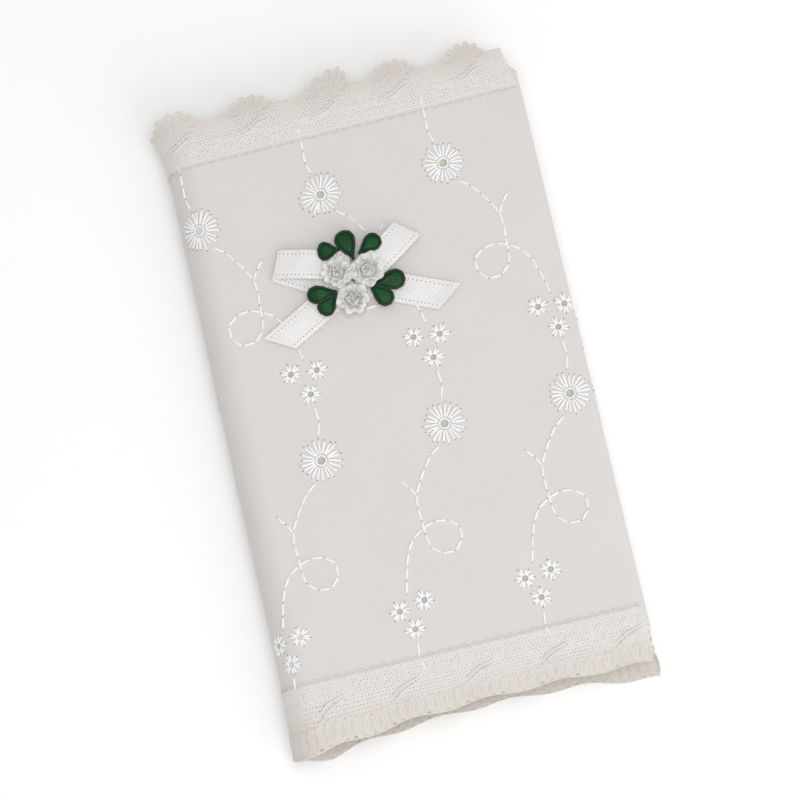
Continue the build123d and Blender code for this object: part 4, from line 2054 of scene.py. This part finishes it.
@dataclass
class PrayerBook:
    """The whole book, dressed in order from its leaves to its bow."""

    jacket: Jacket = field(default_factory=Jacket)
    flatten: float = 0.05

    def flattened(self, piece: bpy.types.Object) -> None:
        """Give a piece on the spine its own copy of its mesh."""
        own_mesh(piece)

    def finishes(self) -> None:
        """Make every material once."""
        self.cloth = Batiste().material()
        self.stitching = Thread("silk_stitching", (0.93, 0.93, 0.93), (0.84, 0.84, 0.85), 0.42).material()
        # The free colour is painted shade on the lace past the end of the cloth.
        self.lace_thread = Thread(
            "lace_cotton", (0.77, 0.745, 0.73), (0.71, 0.68, 0.66), 0.75, free=(0.68, 0.64, 0.58)
        ).material()
        # The petals' darker, creamier colour is painted shade, for the shade on the free lace round them.
        self.lace_petal = Thread("lace_petal", (0.70, 0.67, 0.63), (0.62, 0.585, 0.54), 0.7).material()
        # Dark colour of each needle hole and prick: painted shade.
        self.holes = Thread("needle_holes", (0.36, 0.33, 0.29), (0.26, 0.23, 0.20), 0.9, sheen=0.0).material()
        self.silk = Thread("headband_silk", (0.86, 0.83, 0.74), (0.76, 0.72, 0.62), 0.5).material()
        self.satin = Satin("ribbon_satin", (0.83, 0.82, 0.81), (0.76, 0.745, 0.735)).material()
        self.organza = Organza().material()
        self.green = Satin(
            "leaf_satin", (0.004, 0.078, 0.017), (0.002, 0.036, 0.008), 0.45, specular=0.25, sheen=0.0
        ).material()
        self.green_rim = Thread(
            "leaf_rim", (0.001, 0.028, 0.006), (0.001, 0.014, 0.004), 0.6, sheen=0.0
        ).material()
        self.paper = Paper("leaf_paper", (0.86, 0.82, 0.72), (0.80, 0.76, 0.66)).material()
        self.endpaper = Paper("endpaper", (0.86, 0.84, 0.79), (0.81, 0.79, 0.74)).material()
        self.board = Paper("board_paper", (0.62, 0.575, 0.51), (0.55, 0.51, 0.45)).material()

    def dress_nodes(self) -> None:
        """Give the boards and endpapers, whose shapes are right, their finishes."""
        kept = {
            "front_board": self.board,
            "back_board": self.board,
            "front_pastedown": self.endpaper,
            "back_pastedown": self.endpaper,
            "front_flyleaf": self.endpaper,
            "back_flyleaf": self.endpaper,
        }
        for name, material in kept.items():
            mesh = bpy.data.objects[name].data
            mesh.materials.clear()
            mesh.materials.append(material)

    def dress_leaves(self) -> None:
        """Stack the leaves of every section."""
        leaves = Leaves()
        for number in range(1, 9):
            body = f"leaves_{number:02d}" if number <= 4 else "rear_leaves"
            piece = leaves.section(number)
            finish_piece(piece, self.paper, body, "leaf_paper", f"section_{number:02d}")

    def dress_spine(self) -> None:
        """Make the card, the rounded backs and the headbands."""
        spine = Spine(self.jacket)
        low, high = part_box("spine_card")
        card = spine.arc_sheet("curved_card", self.jacket.joint - low[0], high[1], 0.5 * MM)
        finish_piece(card, self.board, "spine", "cover_board", "spine_card")
        backs = spine.backs()
        finish_piece(backs, self.paper, "spine", "leaf_paper", "sewn_backs")
        bands = [spine.headband(end) for end in End]
        for end, band in zip(End, bands):
            finish_piece(band, self.silk, "spine", "headband_silk", f"headband_{end.word}")
        for piece in (card, backs, *bands):
            self.flattened(piece)

    def dress_cloth(self, embroidery: Embroidery) -> None:
        """Make the cloth of the jacket, panel by panel, and its hems.

        Args:
            embroidery: gives the pegs and the hem stitch.
        """
        jacket = self.jacket
        nodes = {
            Panel.FRONT: ("jacket_front", "front_flap"),
            Panel.SPINE: ("jacket_spine",),
            Panel.BACK: ("jacket_back", "back_flap"),
        }
        turn = math.pi * jacket.edge_round
        for panel in Panel:
            pegs = embroidery.pegs(panel)
            if panel is Panel.SPINE:
                piece, width = jacket.spine_cloth(pegs), jacket.round_run
            else:
                piece = jacket.cover_cloth(panel, pegs)
                width = jacket.width - jacket.edge_round + turn + jacket.flap
            finish_piece(piece, self.cloth, panel.value, "jacket_cloth", *nodes[panel])
            if panel is Panel.SPINE:
                self.flattened(piece)
            else:
                hem = jacket.hem_stitches(panel, embroidery.stitch)
                finish_piece(hem, self.stitching, panel.value, "embroidery_thread")

    def dress_embroidery(self, embroidery: Embroidery) -> None:
        """Make the flowers, the stems and a dark dot of painted shade at each needle hole.

        Args:
            embroidery: the work to make into pieces.
        """
        replaced = {"daisies": "daisies", "small_flowers": "small_flowers"}
        for kind in ("daisies", "small_flowers", "stems", "needle_holes"):
            # each needle hole gets the dark material of painted shade
            material = self.holes if kind == "needle_holes" else self.stitching
            for panel, piece in embroidery.pieces(kind).items():
                nodes = []
                if kind in replaced and panel is not Panel.SPINE:
                    nodes = [f"{replaced[kind]}_{panel.word}"]
                finish_piece(piece, material, panel.value, "embroidery_thread", *nodes)
                if panel is Panel.SPINE:
                    self.flattened(piece)

    def dress_lace(self, bead: Shape) -> None:
        """Make the lace at the head and the tail, panel by panel.

        Args:
            bead: shape of its stitches.
        """
        crowns = {End.HEAD: (11.3 * MM, 3.4 * MM), End.TAIL: (14.3 * MM, 0.5 * MM)}
        for end, (crown, flare) in crowns.items():
            lace = Lace(self.jacket, end, bead, crown, flare=flare)
            for panel in Panel:
                net = lace.net(panel)
                node = f"lace_{end.word}_{panel.word}"
                finish_piece(net, self.lace_thread, panel.value, "lace", node)
                work = [lace.cordwork(panel), lace.clothwork(panel), lace.fans(panel)]
                for piece in work:
                    petals = piece.name.startswith("lace_petals")
                    # The petals' darker material is painted shade.
                    material = self.lace_petal if petals else self.lace_thread
                    finish_piece(piece, material, panel.value, "lace")
                lace.flat_size(panel)
                f"cloth_{panel.word}"
                lace.thread_area(panel)
                if panel is Panel.SPINE:
                    for piece in (net, *work):
                        self.flattened(piece)

    def dress_bow(self, bead: Shape, pit: Shape) -> None:
        """Make the ribbon bow, its roses and its leaves.

        Args:
            bead: shape of the picots.
            pit: shape of the dots of painted shade between the knots.
        """
        bow = Bow(bead)
        ribbon = bow.ribbon()
        finish_piece(ribbon, self.satin, "front_cover", "satin_ribbon", "bow_ribbon")
        finish_piece(bow.picots(), self.stitching, "front_cover", "satin_ribbon")
        # dark dots of painted shade between the ribbon's knots
        finish_piece(bow.pricks(pit), self.holes, "front_cover", "satin_ribbon")
        roses = {"left": (1.0, 0.4), "right": (1.14, 1.0), "lower": (1.06, 1.0)}
        for seed, (side, (swell, lower)) in enumerate(roses.items(), 3):
            rose = Rose(side, seed, swell, lower * MM).piece()
            finish_piece(rose, self.organza, "front_cover", "rose_ribbon", f"rose_{side}")
        seat = (bow.x, bow.y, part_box("leaf_01")[0][2] + 0.25 * MM)
        drops = (
            ((-1.7, 7.4), (-4.4, 7.8), 2.1),
            ((1.3, 4.4), (0.3, 9.2), 2.3),
            ((2.9, 5.4), (6.5, 7.3), 2.0),
            ((4.4, -2.8), (9.8, -2.8), 2.3),
            ((3.7, -2.6), (6.6, -6.4), 2.0),
            ((-4.4, -2.3), (-9.2, -2.0), 2.0),
            ((-4.6, -2.9), (-7.4, -5.4), 2.0),
        )
        for number, (tip, heart, radius) in enumerate(drops, start=1):
            leaf = SatinLeaf(number, tip, heart, radius * MM)
            pad, rim = leaf.pieces(seat)
            finish_piece(pad, self.green, "front_cover", "leaf_satin", f"leaf_{number:02d}")
            finish_piece(rim, self.green_rim, "front_cover", "leaf_satin")

    def make(self) -> None:
        """Make every piece in order."""
        self.finishes()
        self.dress_nodes()
        self.dress_leaves()
        self.dress_spine()
        embroidery = Embroidery(self.jacket)
        self.dress_cloth(embroidery)
        self.dress_embroidery(embroidery)
        bead = bead_shape()
        self.dress_lace(bead)
        self.dress_bow(bead, embroidery.pit)
        stitches = bpy.data.objects["bow_stitches"].data
        stitches.materials.clear()
        stitches.materials.append(self.stitching)


def main() -> None:
    """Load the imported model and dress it."""
    logging.basicConfig(level=logging.INFO, format="%(message)s")
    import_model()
    studio = Studio()
    studio.camera()
    PrayerBook().make()
    studio.lights()
    studio.floor()


if __name__ == "__main__":
    main()
